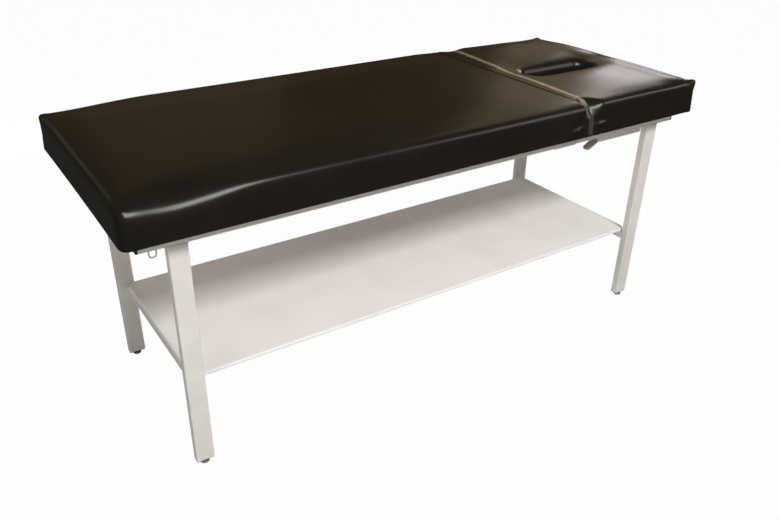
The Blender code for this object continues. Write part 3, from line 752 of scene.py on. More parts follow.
@dataclass(frozen=True)
class FaceSlot:
    """The breathing slot through the head cushion, a rounded rectangle along the table."""

    x: float
    y: float
    length: float = 0.300
    width: float = 0.085
    corner: float = 0.036
    lip: float = 0.024
    collar: float = 0.0083

    def low(self) -> Pair:
        """Lowest X and Y of the slot."""
        return self.x - self.length / 2, self.y - self.width / 2

    def high(self) -> Pair:
        """Highest X and Y of the slot."""
        return self.x + self.length / 2, self.y + self.width / 2

    def distance(self, points: np.ndarray) -> np.ndarray:
        """Measures how far points are from the slot's outline, negative inside it.

        Args:
            points: rows of X, Y and Z.

        Returns:
            One distance for each point.
        """
        straight = np.array((self.length / 2 - self.corner, self.width / 2 - self.corner))
        past = np.abs(points[:, :2] - np.array((self.x, self.y))) - straight
        outside = np.linalg.norm(np.maximum(past, 0.0), axis=1)
        return outside + np.minimum(past.max(axis=1), 0.0) - self.corner


@dataclass
class Cushion:
    """A foam pad on a deck, in a vinyl cover that is stretched over it and tucked under its edge."""

    node: str
    deck: str
    body: Body
    crease_end: int
    voxel: float
    slot: Optional[FaceSlot] = None
    crown: float = 0.0070
    edge_drop: float = 0.0048
    inset: float = 0.0035
    overrun: float = 0.060
    underrun: float = 0.030
    crown_run: float = 0.300
    corner_radius: float = 0.026
    rim_radius: float = 0.002
    crease_radius: float = 0.0045
    crease_run: float = 0.100
    edge_radius: float = 0.016
    bow: float = 0.0016
    foot_sag: float = 0.0045
    head_sag: float = 0.0015
    sag_height: float = 0.045
    pressure: float = 4.0
    swell: float = 0.0065
    held_depth: float = 0.015
    frames: int = 20
    evening_rounds: int = 24
    smoothing: int = 3
    calm_depth: float = 0.006
    square_radius: float = 0.032
    square_power: float = 7.0
    fill: float = 0.9
    deck_gap: float = 0.0004
    rim_angles: tuple[float, ...] = (90.0, 60.0, 30.0, 0.0)
    slot_freedom: float = 0.35
    slot_free_reach: float = 0.060
    side_start: float = 0.80
    end_start: float = 0.88
    ear_inset: float = 0.009
    ear_depth: float = 0.002
    ear_reach: Triple = (0.036, 0.036, 0.036)
    ear_sharpness: float = 1.4
    waist_reach: Triple = (0.045, 0.045, 0.040)

    def __post_init__(self) -> None:
        """Takes the pad's space, its edge's height and its crease from the node that it stands for."""
        self.low, self.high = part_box(self.node)
        main_low, main_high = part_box("main_cushion")
        self.edge_top = self.low.z + main_high.z - main_low.z - self.edge_drop
        self.middle = (self.low.z + self.edge_top) / 2
        self.crease = self.high.x if self.crease_end > 0 else self.low.x

    def build(self, finish: Material) -> Object:
        """Args:
            finish: the vinyl.

        Returns:
            The finished piece.
        """
        name = f"{self.node}_cover"
        piece = placed(name, self.block())
        remesh = piece.modifiers.new("even_net", "REMESH")
        remesh.mode = "VOXEL"
        remesh.voxel_size = self.voxel
        even = piece.modifiers.new("even_steps", "SMOOTH")
        even.factor = 0.5
        even.iterations = self.smoothing
        bake_modifiers(piece)
        self.inflate(piece)
        divide = piece.modifiers.new("fine_net", "SUBSURF")
        divide.levels = 1
        divide.render_levels = 1
        bake_modifiers(piece)
        points = read_points(piece.data)
        self.fit_space(points)
        self.draw_in(points)
        self.calm_top(piece.data, points)
        self.shape_cover(piece.data, points)
        write_points(piece.data, points)
        shape = bmesh.new()
        shape.from_mesh(piece.data)
        bpy.data.objects.remove(piece)
        self.cut_crease(shape)
        self.cut_underside(shape)
        cushion = add_piece(name, mesh_from(shape, name), finish, self.body, (self.node,))
        return cushion

    def block(self) -> Mesh:
        """Makes the foam block, narrower than the finished pad, longer and deeper, with round edges.

        Returns:
            The block.
        """
        inset = self.inset
        foot = self.low.x + (inset if self.crease_end > 0 else -self.overrun)
        head = self.high.x - (inset if self.crease_end < 0 else -self.overrun)
        bottom = self.low.z - self.underrun
        shape = bmesh.new()
        rim = round_rectangle(shape, (foot, self.low.y + inset), (head, self.high.y - inset), bottom,
                              self.corner_radius)
        if self.slot:
            hole = round_rectangle(shape, self.slot.low(), self.slot.high(), bottom, self.slot.corner)
            bmesh.ops.bridge_loops(shape, edges=opened(shape, rim) + opened(shape, hole))
        raised = bmesh.ops.extrude_face_region(shape, geom=list(shape.faces))["geom"]
        raised = [item for item in raised if isinstance(item, BMVert)]
        bmesh.ops.translate(shape, vec=UP * (self.edge_top - bottom), verts=raised)
        bmesh.ops.recalc_face_normals(shape, faces=list(shape.faces))
        self.round_edges(shape)
        mesh = bpy.data.meshes.new(f"{self.node}_block")
        shape.to_mesh(mesh)
        shape.free()
        return mesh

    def round_edges(self, shape: BMesh) -> None:
        """Rounds the block's top rim and the lip of its slot.

        Args:
            shape: the block.
        """
        rims: dict[float, list[BMEdge]] = {}
        for edge in shape.edges:
            slopes = sorted(abs(face.normal.z) for face in edge.link_faces)
            centre = (edge.verts[0].co + edge.verts[1].co) / 2
            if slopes[0] > 0.5 or slopes[-1] < 0.5 or centre.z < self.low.z:
                continue
            at_slot = self.slot and self.slot.distance(np.array((centre,)))[0] < self.slot.corner
            rims.setdefault(self.slot.lip if at_slot else self.edge_radius, []).append(edge)
        for radius, rim in rims.items():
            bevelled(shape, rim, radius, segments=6)

    def inflate(self, piece: Object) -> None:
        """Blows the cover up as cloth from its held lower rim, and caps how far it swells.

        Args:
            piece: the block, whose mesh is changed in place.
        """
        rest = read_points(piece.data)
        held = piece.vertex_groups.new(name="held")
        held.add(np.flatnonzero(rest[:, 2] < self.low.z - self.held_depth).tolist(), 1.0, "REPLACE")
        cloth = piece.modifiers.new("cover", "CLOTH")
        cloth.settings.vertex_group_mass = held.name
        cloth.settings.use_pressure = True
        cloth.settings.uniform_pressure_force = self.pressure
        cloth.settings.effector_weights.gravity = 0.0
        cloth.collision_settings.use_collision = False
        cloth.point_cache.frame_end = self.frames
        for step in range(1, self.frames + 1):
            bpy.context.scene.frame_set(step)
        swollen = evaluated_mesh(piece)
        move = read_points(swollen) - rest
        bpy.data.meshes.remove(swollen)
        bpy.context.scene.frame_set(1)
        piece.modifiers.remove(cloth)
        piece.vertex_groups.remove(held)
        size = np.linalg.norm(move, axis=1)
        LOG.info("%s: cloth moved %.1f mm at most", self.node, MILLIMETRES * size.max())
        cap = self.swell * self.freedom(rest)
        share = cap * np.tanh(size / cap) / np.maximum(size, TINY)
        write_points(piece.data, rest + evened(piece.data, move * share[:, None], self.evening_rounds))

    def freedom(self, points: np.ndarray) -> np.ndarray:
        """Tells how freely the cover may swell at each point.

        Args:
            points: rows of X, Y and Z.

        Returns:
            One share for each point, 1 away from the slot.
        """
        if not self.slot:
            return np.ones(len(points))
        held = self.slot_freedom
        return held + (1.0 - held) * smooth(self.slot.distance(points) / self.slot_free_reach)

    def fit_space(self, points: np.ndarray) -> None:
        """Brings the swollen pad to the size of its space, with a crown that fades out at the crease.

        Args:
            points: rows of X, Y and Z, changed in place.
        """
        free_end = self.low.x if self.crease_end > 0 else self.high.x
        reached = points[:, 0].min() if self.crease_end > 0 else points[:, 0].max()
        points[:, 0] = (self.crease + (points[:, 0] - self.crease) * (free_end - self.crease)
                        / (reached - self.crease))
        points[:, 1] *= (self.high.y - self.low.y) / np.ptp(points[:, 1])
        rise = np.maximum(points[:, 2] - self.edge_top, 0.0)
        share = min(self.crown / max(rise.max(), self.crown), 1.0)
        points[:, 2] -= rise * (1.0 - share * smooth(np.abs(points[:, 0] - self.crease) / self.crown_run))

    def draw_in(self, points: np.ndarray) -> None:
        """Draws the sides in between the corners, as the stretched cover does.

        Args:
            points: rows of X, Y and Z, changed in place.
        """
        middle = (self.low + self.high) / 2
        half = (self.high - self.low) / 2
        along = (points[:, 0] - middle.x) / half.x
        across = (points[:, 1] - middle.y) / half.y
        at_side = smooth((np.abs(across) - self.side_start) / (1.0 - self.side_start))
        points[:, 1] -= np.sign(across) * self.bow * (1.0 - along ** 2) * at_side
        free_end = smooth((-self.crease_end * along - self.end_start) / (1.0 - self.end_start))
        points[:, 0] += self.crease_end * self.bow * (1.0 - across ** 2) * free_end

    def calm_top(self, mesh: Mesh, points: np.ndarray) -> None:
        """Takes small ripples out of the height of the top."""
        on_top = smooth((points[:, 2] - self.edge_top) / self.calm_depth + 1.0)
        points[:, 2] += on_top * (evened(mesh, points, self.evening_rounds)[:, 2] - points[:, 2])

    def upper_share(self, points: np.ndarray) -> np.ndarray:
        """How far up the pad each point is, from 0 at the middle of its side to 1 at its top edge."""
        return smooth((points[:, 2] - self.middle) / (self.edge_top - self.middle))

    def off_crease(self, points: np.ndarray) -> np.ndarray:
        """How far each point is from the crease, from 0 at it to 1 where its run ends."""
        return smooth(np.abs(points[:, 0] - self.crease) / self.crease_run)

    def square_up(self, points: np.ndarray, axis: int, face: float) -> None:
        """Makes a rounded top edge squarer, as where the cover is pulled tight over the foam's corner.

        Args:
            points: rows of X, Y and Z, changed in place.
            axis: 0 for an edge across the table, 1 for one along it.
            face: place on that axis of the side below the edge.
        """
        radius, power = self.square_radius, self.square_power
        start, sign = abs(face) - radius, math.copysign(1.0, face)
        out = (points[:, axis] * sign - start) / radius
        rise = (points[:, 2] - self.edge_top) / radius + 1.0
        held = np.maximum(np.stack((out, rise)), 0.0)
        ways = held / np.maximum(np.linalg.norm(held, axis=0), TINY)
        stretch = np.where(held.min(axis=0) > 0.0, (ways ** power).sum(axis=0) ** (-1.0 / power), 1.0)
        points[:, axis] = sign * (start + radius * np.where(stretch > 1.0, out * stretch, out))
        points[:, 2] = self.edge_top - radius + radius * np.where(stretch > 1.0, rise * stretch, rise)

    def dog_ear(self, points: np.ndarray, x_side: int, y_side: int, lift: float, out: float,
                waist: float = 0.0) -> None:
        """Pulls one top corner up and out into a small point, where the cover is folded over itself.

        Args:
            points: rows of X, Y and Z, changed in place.
            x_side: sign of the corner's X.
            y_side: sign of the corner's Y.
            lift: how far the tip goes up.
            out: how far the tip goes out along X and along Y.
            waist: how far the corner is drawn in below the tip.
        """
        x = self.high.x if x_side > 0 else self.low.x
        y = self.high.y if y_side > 0 else self.low.y
        tip = (x - x_side * self.ear_inset, y - y_side * self.ear_inset, self.edge_top - self.ear_depth)
        pull(points, tip, (x_side * out, y_side * out, lift), self.ear_reach, self.ear_sharpness)
        pull(points, (x, y, self.middle), (-x_side * waist, -y_side * waist, 0.0), self.waist_reach)

    def shape_cover(self, mesh: Mesh, points: np.ndarray) -> None:
        """Adds what is particular to one cushion. The plain cushion has nothing more."""

    def cut_flat(self, shape: BMesh, face: Vector, outwards: Vector, radius: float) -> list[BMEdge]:
        """Cuts the pad off at a plane and rounds the rim of the cut.

        Args:
            shape: the pad.
            face: a point of the plane.
            outwards: the plane's normal, towards what is cut away.
            radius: radius of the rounded rim.

        Returns:
            The edges round the open cut.
        """
        for angle in self.rim_angles:
            depth = radius * (1.0 - math.cos(math.radians(angle)))
            geometry = [*shape.verts, *shape.edges, *shape.faces]
            bmesh.ops.bisect_plane(shape, geom=geometry, dist=CUT_TOLERANCE, plane_no=outwards,
                                   plane_co=face - outwards * depth, clear_outer=angle == 0.0)
        shape.normal_update()
        moves = {}
        for vert in shape.verts:
            depth = max((face - vert.co).dot(outwards), 0.0)
            if depth < radius:
                sideways = (vert.normal - outwards * vert.normal.dot(outwards)).normalized()
                moves[vert] = sideways * (radius - math.sqrt(radius ** 2 - (radius - depth) ** 2))
        for vert, move in moves.items():
            vert.co -= move
        return [edge for edge in shape.edges if edge.is_boundary]

    def cut_crease(self, shape: BMesh) -> None:
        """Cuts the pad off square at the crease."""
        face, outwards = Vector((self.crease, 0.0, 0.0)), Vector((self.crease_end, 0.0, 0.0))
        bmesh.ops.edgeloop_fill(shape, edges=self.cut_flat(shape, face, outwards, self.crease_radius))

    def cut_underside(self, shape: BMesh) -> None:
        """Cuts the pad off flat below, lets its rim hang a little, and leaves a recess for the deck.

        Args:
            shape: the pad.
        """
        rim = self.cut_flat(shape, Vector((0.0, 0.0, self.low.z)), -UP, self.rim_radius)
        for vert in shape.verts:
            height = np.array((vert.co.z - self.low.z) / self.sag_height)
            share = (vert.co.x - CAD_BOX[0][0]) / (CAD_BOX[1][0] - CAD_BOX[0][0])
            vert.co.z -= (self.foot_sag + (self.head_sag - self.foot_sag) * share) * smooth(1.0 - height)
        deck_low, deck_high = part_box(self.deck)
        gap = Vector((self.deck_gap, self.deck_gap))
        recess = opened(shape, round_rectangle(shape, deck_low.xy - gap, deck_high.xy + gap, self.low.z))
        loops = [(rim, recess)]
        if self.slot:
            in_slot = [edge for edge in rim
                       if self.slot.distance(np.array((edge.verts[0].co,)))[0] < self.slot.corner]
            reach = Vector((self.slot.collar, self.slot.collar))
            low, high = Vector(self.slot.low()) - reach, Vector(self.slot.high()) + reach
            corner = self.slot.corner + self.slot.collar
            collar = opened(shape, round_rectangle(shape, low, high, self.low.z, corner))
            loops = [([edge for edge in rim if edge not in in_slot], recess), (in_slot, collar)]
        walls = []
        for outer, inner in loops:
            bmesh.ops.triangle_fill(shape, edges=outer + inner, use_beauty=True)
            walls += inner
        raised = bmesh.ops.extrude_edge_only(shape, edges=walls)["geom"]
        raised_verts = [item for item in raised if isinstance(item, BMVert)]
        bmesh.ops.translate(shape, vec=UP * (deck_high.z - deck_low.z + self.deck_gap), verts=raised_verts)
        ceiling = [item for item in raised if isinstance(item, BMEdge) and item.is_boundary]
        bmesh.ops.triangle_fill(shape, edges=ceiling, use_beauty=True)
        bmesh.ops.recalc_face_normals(shape, faces=list(shape.faces))


@dataclass
class MainCushion(Cushion):
    """The long cushion, with folded corners at the foot and a pucker on its side next to the strap."""

    soft_x: float = 0.130
    soft_reach: Triple = (0.250, 0.090, 0.090)
    soft_rounds: int = 60
    soft_slope: float = 1.6
    slack: Triple = (0.0, 0.004, -0.014)
    slack_reach: Triple = (0.190, 0.095, 0.075)
    far_lift: float = 0.0040
    corner_drop: float = 0.013
    corner_reach: Triple = (0.330, 0.200, 0.090)
    near_ear: Pair = (0.0060, 0.0030)
    far_ear: Triple = (0.0040, 0.0090, 0.0035)
    fold_low: Pair = (-0.075, 0.018)
    fold_high: Pair = (0.010, 0.036)
    fold_height: float = 0.0065
    fold_width: float = 0.011

    def shape_cover(self, mesh: Mesh, points: np.ndarray) -> None:
        """Adds the folded corners, the slack near edge at the foot and the pucker at the crease.

        Args:
            mesh: the cover, for its edges.
            points: rows of X, Y and Z, changed in place.
        """
        near = self.low.y
        centre = np.array((self.low.x + self.soft_x, near, self.edge_top))
        away = np.linalg.norm((points - centre) / np.array(self.soft_reach), axis=1)
        softness = smooth(self.soft_slope - self.soft_slope * away)
        points += softness[:, None] * (evened(mesh, points, self.soft_rounds) - points)
        pull(points, centre, self.slack, self.slack_reach)
        self.square_up(points, 1, self.high.y)
        far = smooth(points[:, 1] / self.high.y) * self.off_crease(points)
        points[:, 2] += self.far_lift * far * self.upper_share(points)
        far_corner = (self.low.x, self.high.y, self.edge_top)
        pull(points, far_corner, (0.0, 0.0, -self.corner_drop), self.corner_reach)
        self.dog_ear(points, -1, -1, *self.near_ear)
        self.dog_ear(points, -1, 1, *self.far_ear)
        ends = [(self.crease + x, near, self.low.z + z) for x, z in (self.fold_low, self.fold_high)]
        crumple(points, *ends, NEARWARDS, self.fold_height, self.fold_width)


@dataclass
class HeadCushion(Cushion):
    """The short cushion with the face slot, pinched at both edges by the strap."""

    pinch: float = 0.022
    far_pinch: float = 0.25
    edge_pinch_in: float = 0.8
    edge_pinch_reach: Triple = (0.062, 0.080, 0.060)
    side_pinch_in: float = 0.4
    side_pinch_reach: Triple = (0.045, 0.060, 0.065)
    slot_dip: float = 0.008
    slot_dip_reach: float = 0.120
    near_dip: float = 0.55
    end_lift: float = 0.010
    end_run: float = 0.110
    end_power: int = 4
    far_lift: float = 0.004
    far_run: float = 0.300
    corner_fill: float = 0.006
    corner_fill_reach: Triple = (0.055, 0.055, 0.150)
    corner_drop: float = 0.006
    corner_drop_reach: Triple = (0.250, 0.200, 0.090)
    near_ear: Pair = (0.0075, 0.0010)
    far_ear: Pair = (0.0015, 0.0020)
    fold_low: Pair = (-0.004, 0.030)
    fold_high: Pair = (0.085, 0.033)
    fold_height: float = 0.0050
    fold_width: float = 0.009

    def strap_x(self, side: Side) -> float:
        """X of the strap's middle at one side, over its button."""
        low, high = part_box(f"strap_button_{side.name.lower()}")
        return (low.x + high.x) / 2

    def shape_cover(self, mesh: Mesh, points: np.ndarray) -> None:
        """Adds the raised end, the folded corners, the strap's pinch, the pucker and the slot's dip.

        Args:
            mesh: the cover, not used here.
            points: rows of X, Y and Z, changed in place.
        """
        self.square_up(points, 0, self.high.x)
        across = np.clip(points[:, 1] / self.high.y, -1.0, 1.0)
        at_end = smooth((points[:, 0] - self.high.x) / self.end_run + 1.0)
        off_corners = 1.0 - across ** self.end_power
        points[:, 2] += self.end_lift * at_end * off_corners * self.upper_share(points)
        self.square_up(points, 1, self.high.y)
        by_crease = 1.0 - smooth((points[:, 0] - self.crease) / self.far_run)
        far = smooth(across) * self.off_crease(points) * by_crease
        points[:, 2] += self.far_lift * far * self.upper_share(points)
        filled = (self.corner_fill, -self.corner_fill, 0.0)
        pull(points, (self.high.x, self.low.y, self.middle), filled, self.corner_fill_reach)
        self.dog_ear(points, 1, -1, *self.near_ear)
        far_corner = (self.high.x, self.high.y, self.edge_top)
        pull(points, far_corner, (0.0, 0.0, -self.corner_drop), self.corner_drop_reach)
        self.dog_ear(points, 1, 1, *self.far_ear)
        self.pinch_edge(points, Side.NEAR, self.pinch)
        self.pinch_edge(points, Side.FAR, self.pinch * self.far_pinch)
        x = self.strap_x(Side.NEAR)
        ends = [(x + along, self.low.y, self.low.z + z) for along, z in (self.fold_low, self.fold_high)]
        crumple(points, *ends, NEARWARDS, self.fold_height, self.fold_width)
        dip = smooth(1.0 - np.abs(self.slot.distance(points)) / self.slot_dip_reach)
        dip *= self.near_dip + (1.0 - self.near_dip) * smooth(points[:, 1] / self.slot.width + 0.5)
        points[:, 2] -= self.slot_dip * dip * self.upper_share(points)

    def pinch_edge(self, points: np.ndarray, side: Side, depth: float) -> None:
        """Presses the top edge and the side below it in where the strap crosses them.

        Args:
            points: rows of X, Y and Z, changed in place.
            side: the edge's side of the table.
            depth: how far the edge goes down.
        """
        x = self.strap_x(side)
        y = side.value * self.high.y
        inwards = -side.value * depth
        at_edge = (0.0, inwards * self.edge_pinch_in, -depth)
        at_side = (0.0, inwards * self.side_pinch_in, 0.0)
        pull(points, (x, y, self.edge_top), at_edge, self.edge_pinch_reach)
        pull(points, (x, y, self.middle), at_side, self.side_pinch_reach)


@dataclass
class Strap:
    """The clear band round the head cushion, laid on its cover and held by a button below each side."""

    node: str = "strap"
    width: float = 0.018
    thickness: float = 0.0010
    gap: float = 0.0005
    tail: float = 0.036
    bend: float = 0.024
    shoulder: float = 0.048
    step: float = 0.006
    columns: int = 6
    turn_steps: int = 9
    reach: float = 0.040
    bow: float = 0.009
    flat_below: float = 0.9

    def route(self, cushion: Cushion) -> list[tuple[Vector, Vector]]:
        """Returns the stations of the strap's way round the cushion.

        Args:
            cushion: the cushion that it goes round.

        Returns:
            A point near the cover and the way outwards for each station, from the near tail to the far one.
        """
        low_y, high_y = cushion.low.y, cushion.high.y
        bottom, top = cushion.low.z + self.bend, cushion.edge_top - self.shoulder
        turns = ((low_y + self.bend, bottom, self.bend), (low_y + self.shoulder, top, self.shoulder),
                 (high_y - self.shoulder, top, self.shoulder), (high_y - self.bend, bottom, self.bend))
        keys = [(low_y + self.tail, bottom, self.bend, 270.0)]
        for turn, place in enumerate(turns):
            keys += [(*place, angle) for angle in np.linspace(270.0, 180.0, self.turn_steps) - 90.0 * turn]
        keys.append((high_y - self.tail, bottom, self.bend, -90.0))
        stations = []
        for start, end in zip(keys, keys[1:]):
            parts = max(1, round(math.dist(start[:2], end[:2]) / self.step))
            stations += list(np.linspace(start, end, parts, endpoint=False))
        route = []
        for y, z, radius, angle in stations + keys[-1:]:
            outwards = Vector((0.0, math.cos(math.radians(angle)), math.sin(math.radians(angle))))
            route.append((Vector((0.0, y, z)) + outwards * radius, outwards))
        return route

    def build(self, cushion: HeadCushion, cover: Object, finish: Material) -> Object:
        """Lays the strap on the cover.

        Args:
            cushion: the cushion that it goes round.
            cover: the finished cover of that cushion.
            finish: the clear plastic.

        Returns:
            The strap.
        """
        route = self.route(cushion)
        last = len(route) - 1
        tree = BVHTree.FromObject(cover, bpy.context.evaluated_depsgraph_get())
        shape = bmesh.new()
        bmesh.ops.create_grid(shape, x_segments=self.columns, y_segments=last, size=0.5)
        for vert in shape.verts:
            place, outwards = route[round((vert.co.y + 0.5) * last)]
            vert.co = self.laid(tree, cushion, place, outwards, vert.co.x)
        bmesh.ops.recalc_face_normals(shape, faces=list(shape.faces))
        bmesh.ops.solidify(shape, geom=list(shape.faces), thickness=self.thickness)
        bmesh.ops.recalc_face_normals(shape, faces=list(shape.faces))
        mesh = mesh_from(shape, "strap_band")
        return add_piece("strap_band", mesh, finish, Body.HEAD, (self.node,))

    def laid(self, tree: BVHTree, cushion: HeadCushion, place: Vector, outwards: Vector,
             across: float) -> Vector:
        """Returns where one point of the strap lies, just clear of the cover or of the deck below it.

        Args:
            tree: the cover, for ray casts.
            cushion: the cushion that the strap goes round.
            place: the station's point near the cover.
            outwards: the way out of the cover there.
            across: place across the strap, from -0.5 to 0.5.

        Returns:
            The point.
        """
        share = (place.y - cushion.low.y) / (cushion.high.y - cushion.low.y)
        height = (place.z - cushion.low.z) / (cushion.edge_top - cushion.low.z)
        near_x, far_x = cushion.strap_x(Side.NEAR), cushion.strap_x(Side.FAR)
        x = near_x + (far_x - near_x) * share + self.bow * math.sin(math.pi * height) + across * self.width
        start = Vector((x, place.y, place.z)) + outwards * self.reach
        spot = tree.ray_cast(start, -outwards)[0]
        if outwards.z < -self.flat_below:
            spot.z = min(spot.z, cushion.low.z)
        return spot + outwards * (self.gap + self.thickness / 2)


@dataclass
class PanHeads:
    """Round screw heads with a socket, hanging below the faces that they hold."""

    name: str
    body: Body
    places: Sequence[Vector]
    radius: float = 0.0050
    height: float = 0.0028
    rounding: float = 0.0012
    socket: float = 0.0022
    socket_depth: float = 0.0014
    sides: int = 20

    def build(self, finish: Material) -> Object:
        """Makes all heads as one piece.

        Args:
            finish: their material.

        Returns:
            The piece.
        """
        shape = bmesh.new()
        for place in self.places:
            self.add_head(shape, place)
        return add_piece(self.name, mesh_from(shape, self.name), finish, self.body)

    def add_head(self, shape: BMesh, place: Vector) -> None:
        """Adds one head below a place.

        Args:
            shape: the bmesh to add to.
            place: the middle of its upper face.
        """
        matrix = Matrix.Translation(place - UP * self.height / 2)
        verts = add_rod(shape, self.radius, self.height, self.sides, matrix)
        rim = [edge for edge in {edge for vert in verts for edge in vert.link_edges}
               if all(vert.co.z < place.z - self.height / 2 for vert in edge.verts)]
        made = bevelled(shape, rim, self.rounding, segments=3)
        flat = min({face for vert in made for face in vert.link_faces}, key=self.flatness)
        bmesh.ops.inset_region(shape, faces=[flat], thickness=self.radius - self.rounding - self.socket)
        hole = bmesh.ops.extrude_discrete_faces(shape, faces=[flat])["faces"]
        bmesh.ops.translate(shape, vec=UP * self.socket_depth, verts=list(hole[0].verts))

    @staticmethod
    def flatness(face: BMFace) -> Pair:
        """Order of a head's faces, with the wide one below first."""
        return round(face.calc_center_median().z, 6), -face.calc_area()


@dataclass
class RoundBars:
    """Short round bars with soft ends, such as weld beads and grommets."""

    name: str
    slot: Slot
    radius: float
    length: float
    rounding: float
    bars: Sequence[tuple[Vector, str]]
    sides: int = 16

    def build(self, finish: Material) -> Object:
        """Makes all bars as one piece.

        Args:
            finish: their material.

        Returns:
            The piece.
        """
        turns = {"X": Matrix.Rotation(math.pi / 2, 4, "Y"), "Y": Matrix.Rotation(math.pi / 2, 4, "X"),
                 "Z": Matrix.Identity(4)}
        shape = bmesh.new()
        for middle, axis in self.bars:
            matrix = Matrix.Translation(middle) @ turns[axis]
            verts = add_rod(shape, self.radius, self.length, self.sides, matrix)
            ends = {face for vert in verts for face in vert.link_faces if len(face.verts) > 4}
            rims = list({edge for face in ends for edge in face.edges})
            bevelled(shape, rims, self.rounding, segments=3)
        return add_piece(self.name, mesh_from(shape, self.name), finish, Body.FRAME)


@dataclass
class Fittings:
    """Screws, weld beads and grommets of the frame."""

    cross_tubes: tuple[str, ...] = ("cross_tube_1", "cross_tube_2", "cross_tube_3", "cross_tube_4")
    shelf_bars: tuple[str, ...] = ("shelf_bar_foot", "shelf_bar_head")
    deck_tubes: int = 3
    deck_screw_y: float = 0.20
    shelf_screw_y: float = 0.16
    bead_radius: float = 0.0021
    bead_length: float = 0.0235
    bead_rounding: float = 0.0015
    grommet_radius: float = 0.0044
    grommet_height: float = 0.0036
    grommet_rounding: float = 0.0010
    wire_radius: float = 0.0020
    flange: float = 0.004
    flange_screw_x: Pair = (0.490, 0.538)
    flange_screw_inset: float = 0.010

    def build(self, materials: dict[Slot, Material]) -> None:
        """Makes every fitting.

        Args:
            materials: the finished material of each slot.
        """
        steel = materials[Slot.PLAIN_STEEL]
        deck_screws = self.below(self.cross_tubes[:self.deck_tubes], self.deck_screw_y)
        shelf_screws = self.below(self.shelf_bars, self.shelf_screw_y)
        PanHeads("deck_screws", Body.FRAME, deck_screws).build(steel)
        PanHeads("shelf_screws", Body.FRAME, shelf_screws).build(steel)
        PanHeads("sector_screws", Body.HEAD, self.below_flanges()).build(steel)
        RoundBars("weld_beads", Slot.FRAME_PAINT, self.bead_radius, self.bead_length, self.bead_rounding,
                  self.leg_beads() + self.bar_beads()).build(materials[Slot.FRAME_PAINT])
        RoundBars("loop_grommets", Slot.BLACK_PLASTIC, self.grommet_radius, self.grommet_height,
                  self.grommet_rounding, self.grommets()).build(materials[Slot.BLACK_PLASTIC])

    def below(self, nodes: Iterable[str], y: float) -> list[Vector]:
        """Finds the places of two screws below each of some bars.

        Args:
            nodes: the bars.
            y: distance of the screws from the middle.

        Returns:
            The screws' upper faces.
        """
        places = []
        for node in nodes:
            low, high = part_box(node)
            places += [Vector(((low.x + high.x) / 2, side.value * y, low.z)) for side in Side]
        return places

    def below_flanges(self) -> list[Vector]:
        """Finds the places of the screws through the sectors' flanges into the head deck.

        Returns:
            The screws' upper faces.
        """
        places = []
        for side in Side:
            low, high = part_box(f"sector_{side.name.lower()}")
            y = side.value * (min(abs(low.y), abs(high.y)) + self.flange_screw_inset)
            places += [Vector((x, y, high.z - self.flange)) for x in self.flange_screw_x]
        return places

    def leg_beads(self) -> list[tuple[Vector, str]]:
        """Finds the beads between the legs and the rails, on both sides of each leg.

        Returns:
            The middle and axis of each bead.
        """
        beads = []
        for end in ("foot", "head"):
            for side in Side:
                low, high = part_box(f"leg_{end}_{side.name.lower()}")
                beads += [(Vector((x, (low.y + high.y) / 2, high.z)), "Y") for x in (low.x, high.x)]
        return beads

    def bar_beads(self) -> list[tuple[Vector, str]]:
        """Finds the beads below the ends of the cross tubes and shelf bars.

        Returns:
            The middle and axis of each bead.
        """
        beads = []
        for node in self.cross_tubes + self.shelf_bars:
            low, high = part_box(node)
            beads += [(Vector(((low.x + high.x) / 2, y, low.z)), "X") for y in (low.y, high.y)]
        return beads

    def grommets(self) -> list[tuple[Vector, str]]:
        """Finds the grommets where the loops' wires enter the rails.

        Returns:
            The middle and axis of each grommet.
        """
        places = []
        for side in Side:
            low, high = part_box(f"roll_loop_{side.name.lower()}")
            for x in (low.x + self.wire_radius, high.x - self.wire_radius):
                places.append((Vector((x, (low.y + high.y) / 2, high.z - self.grommet_height / 2)), "Z"))
        return places


@dataclass(frozen=True)
class StudioCamera:
    """The camera, placed for a frame of 780 by 520."""

    place: Triple = (-1.2856, -1.8790, 1.5183)
    azimuth: float = -34.2991
    elevation: float = 28.9708
    roll: float = 1.1899
    lens: float = 34.82
    sensor: float = 36.0

    def build(self) -> None:
        """Makes it the scene's camera."""
        turn, rise, tip = (math.radians(angle) for angle in (self.azimuth, self.elevation, self.roll))
        level = Vector((math.cos(turn), math.sin(turn), 0.0))
        back = Vector((math.sin(turn) * math.cos(rise), -math.cos(turn) * math.cos(rise), math.sin(rise)))
        upright = back.cross(level)
        right = level * math.cos(tip) + upright * math.sin(tip)
        up = upright * math.cos(tip) - level * math.sin(tip)
        data = bpy.data.cameras.new("camera")
        data.lens = self.lens
        data.sensor_width = self.sensor
        camera = placed("camera", data)
        facing = Matrix((right, up, back)).transposed().to_4x4()
        camera.matrix_world = Matrix.Translation(self.place) @ facing
        bpy.context.scene.camera = camera


@dataclass(frozen=True)
class SoftBox:
    """A soft rectangular light that the camera doesn't see."""

    name: str
    place: Triple
    target: Triple
    width: float
    height: float
    power: float
    colour: Colour = (1.0, 1.0, 1.0)
    gloss: bool = True
    fills: bool = True

    def build(self) -> None:
        """Adds the light to the scene."""
        data = bpy.data.lights.new(self.name, "AREA")
        data.shape = "RECTANGLE"
        data.size = self.width
        data.size_y = self.height
        data.energy = self.power
        data.color = self.colour
        light = placed(self.name, data)
        light.location = self.place
        aim = Vector(self.target) - Vector(self.place)
        light.rotation_euler = aim.to_track_quat("-Z", "Y").to_euler()
        light.visible_camera = False
        light.visible_glossy = self.gloss
        light.visible_diffuse = self.fills


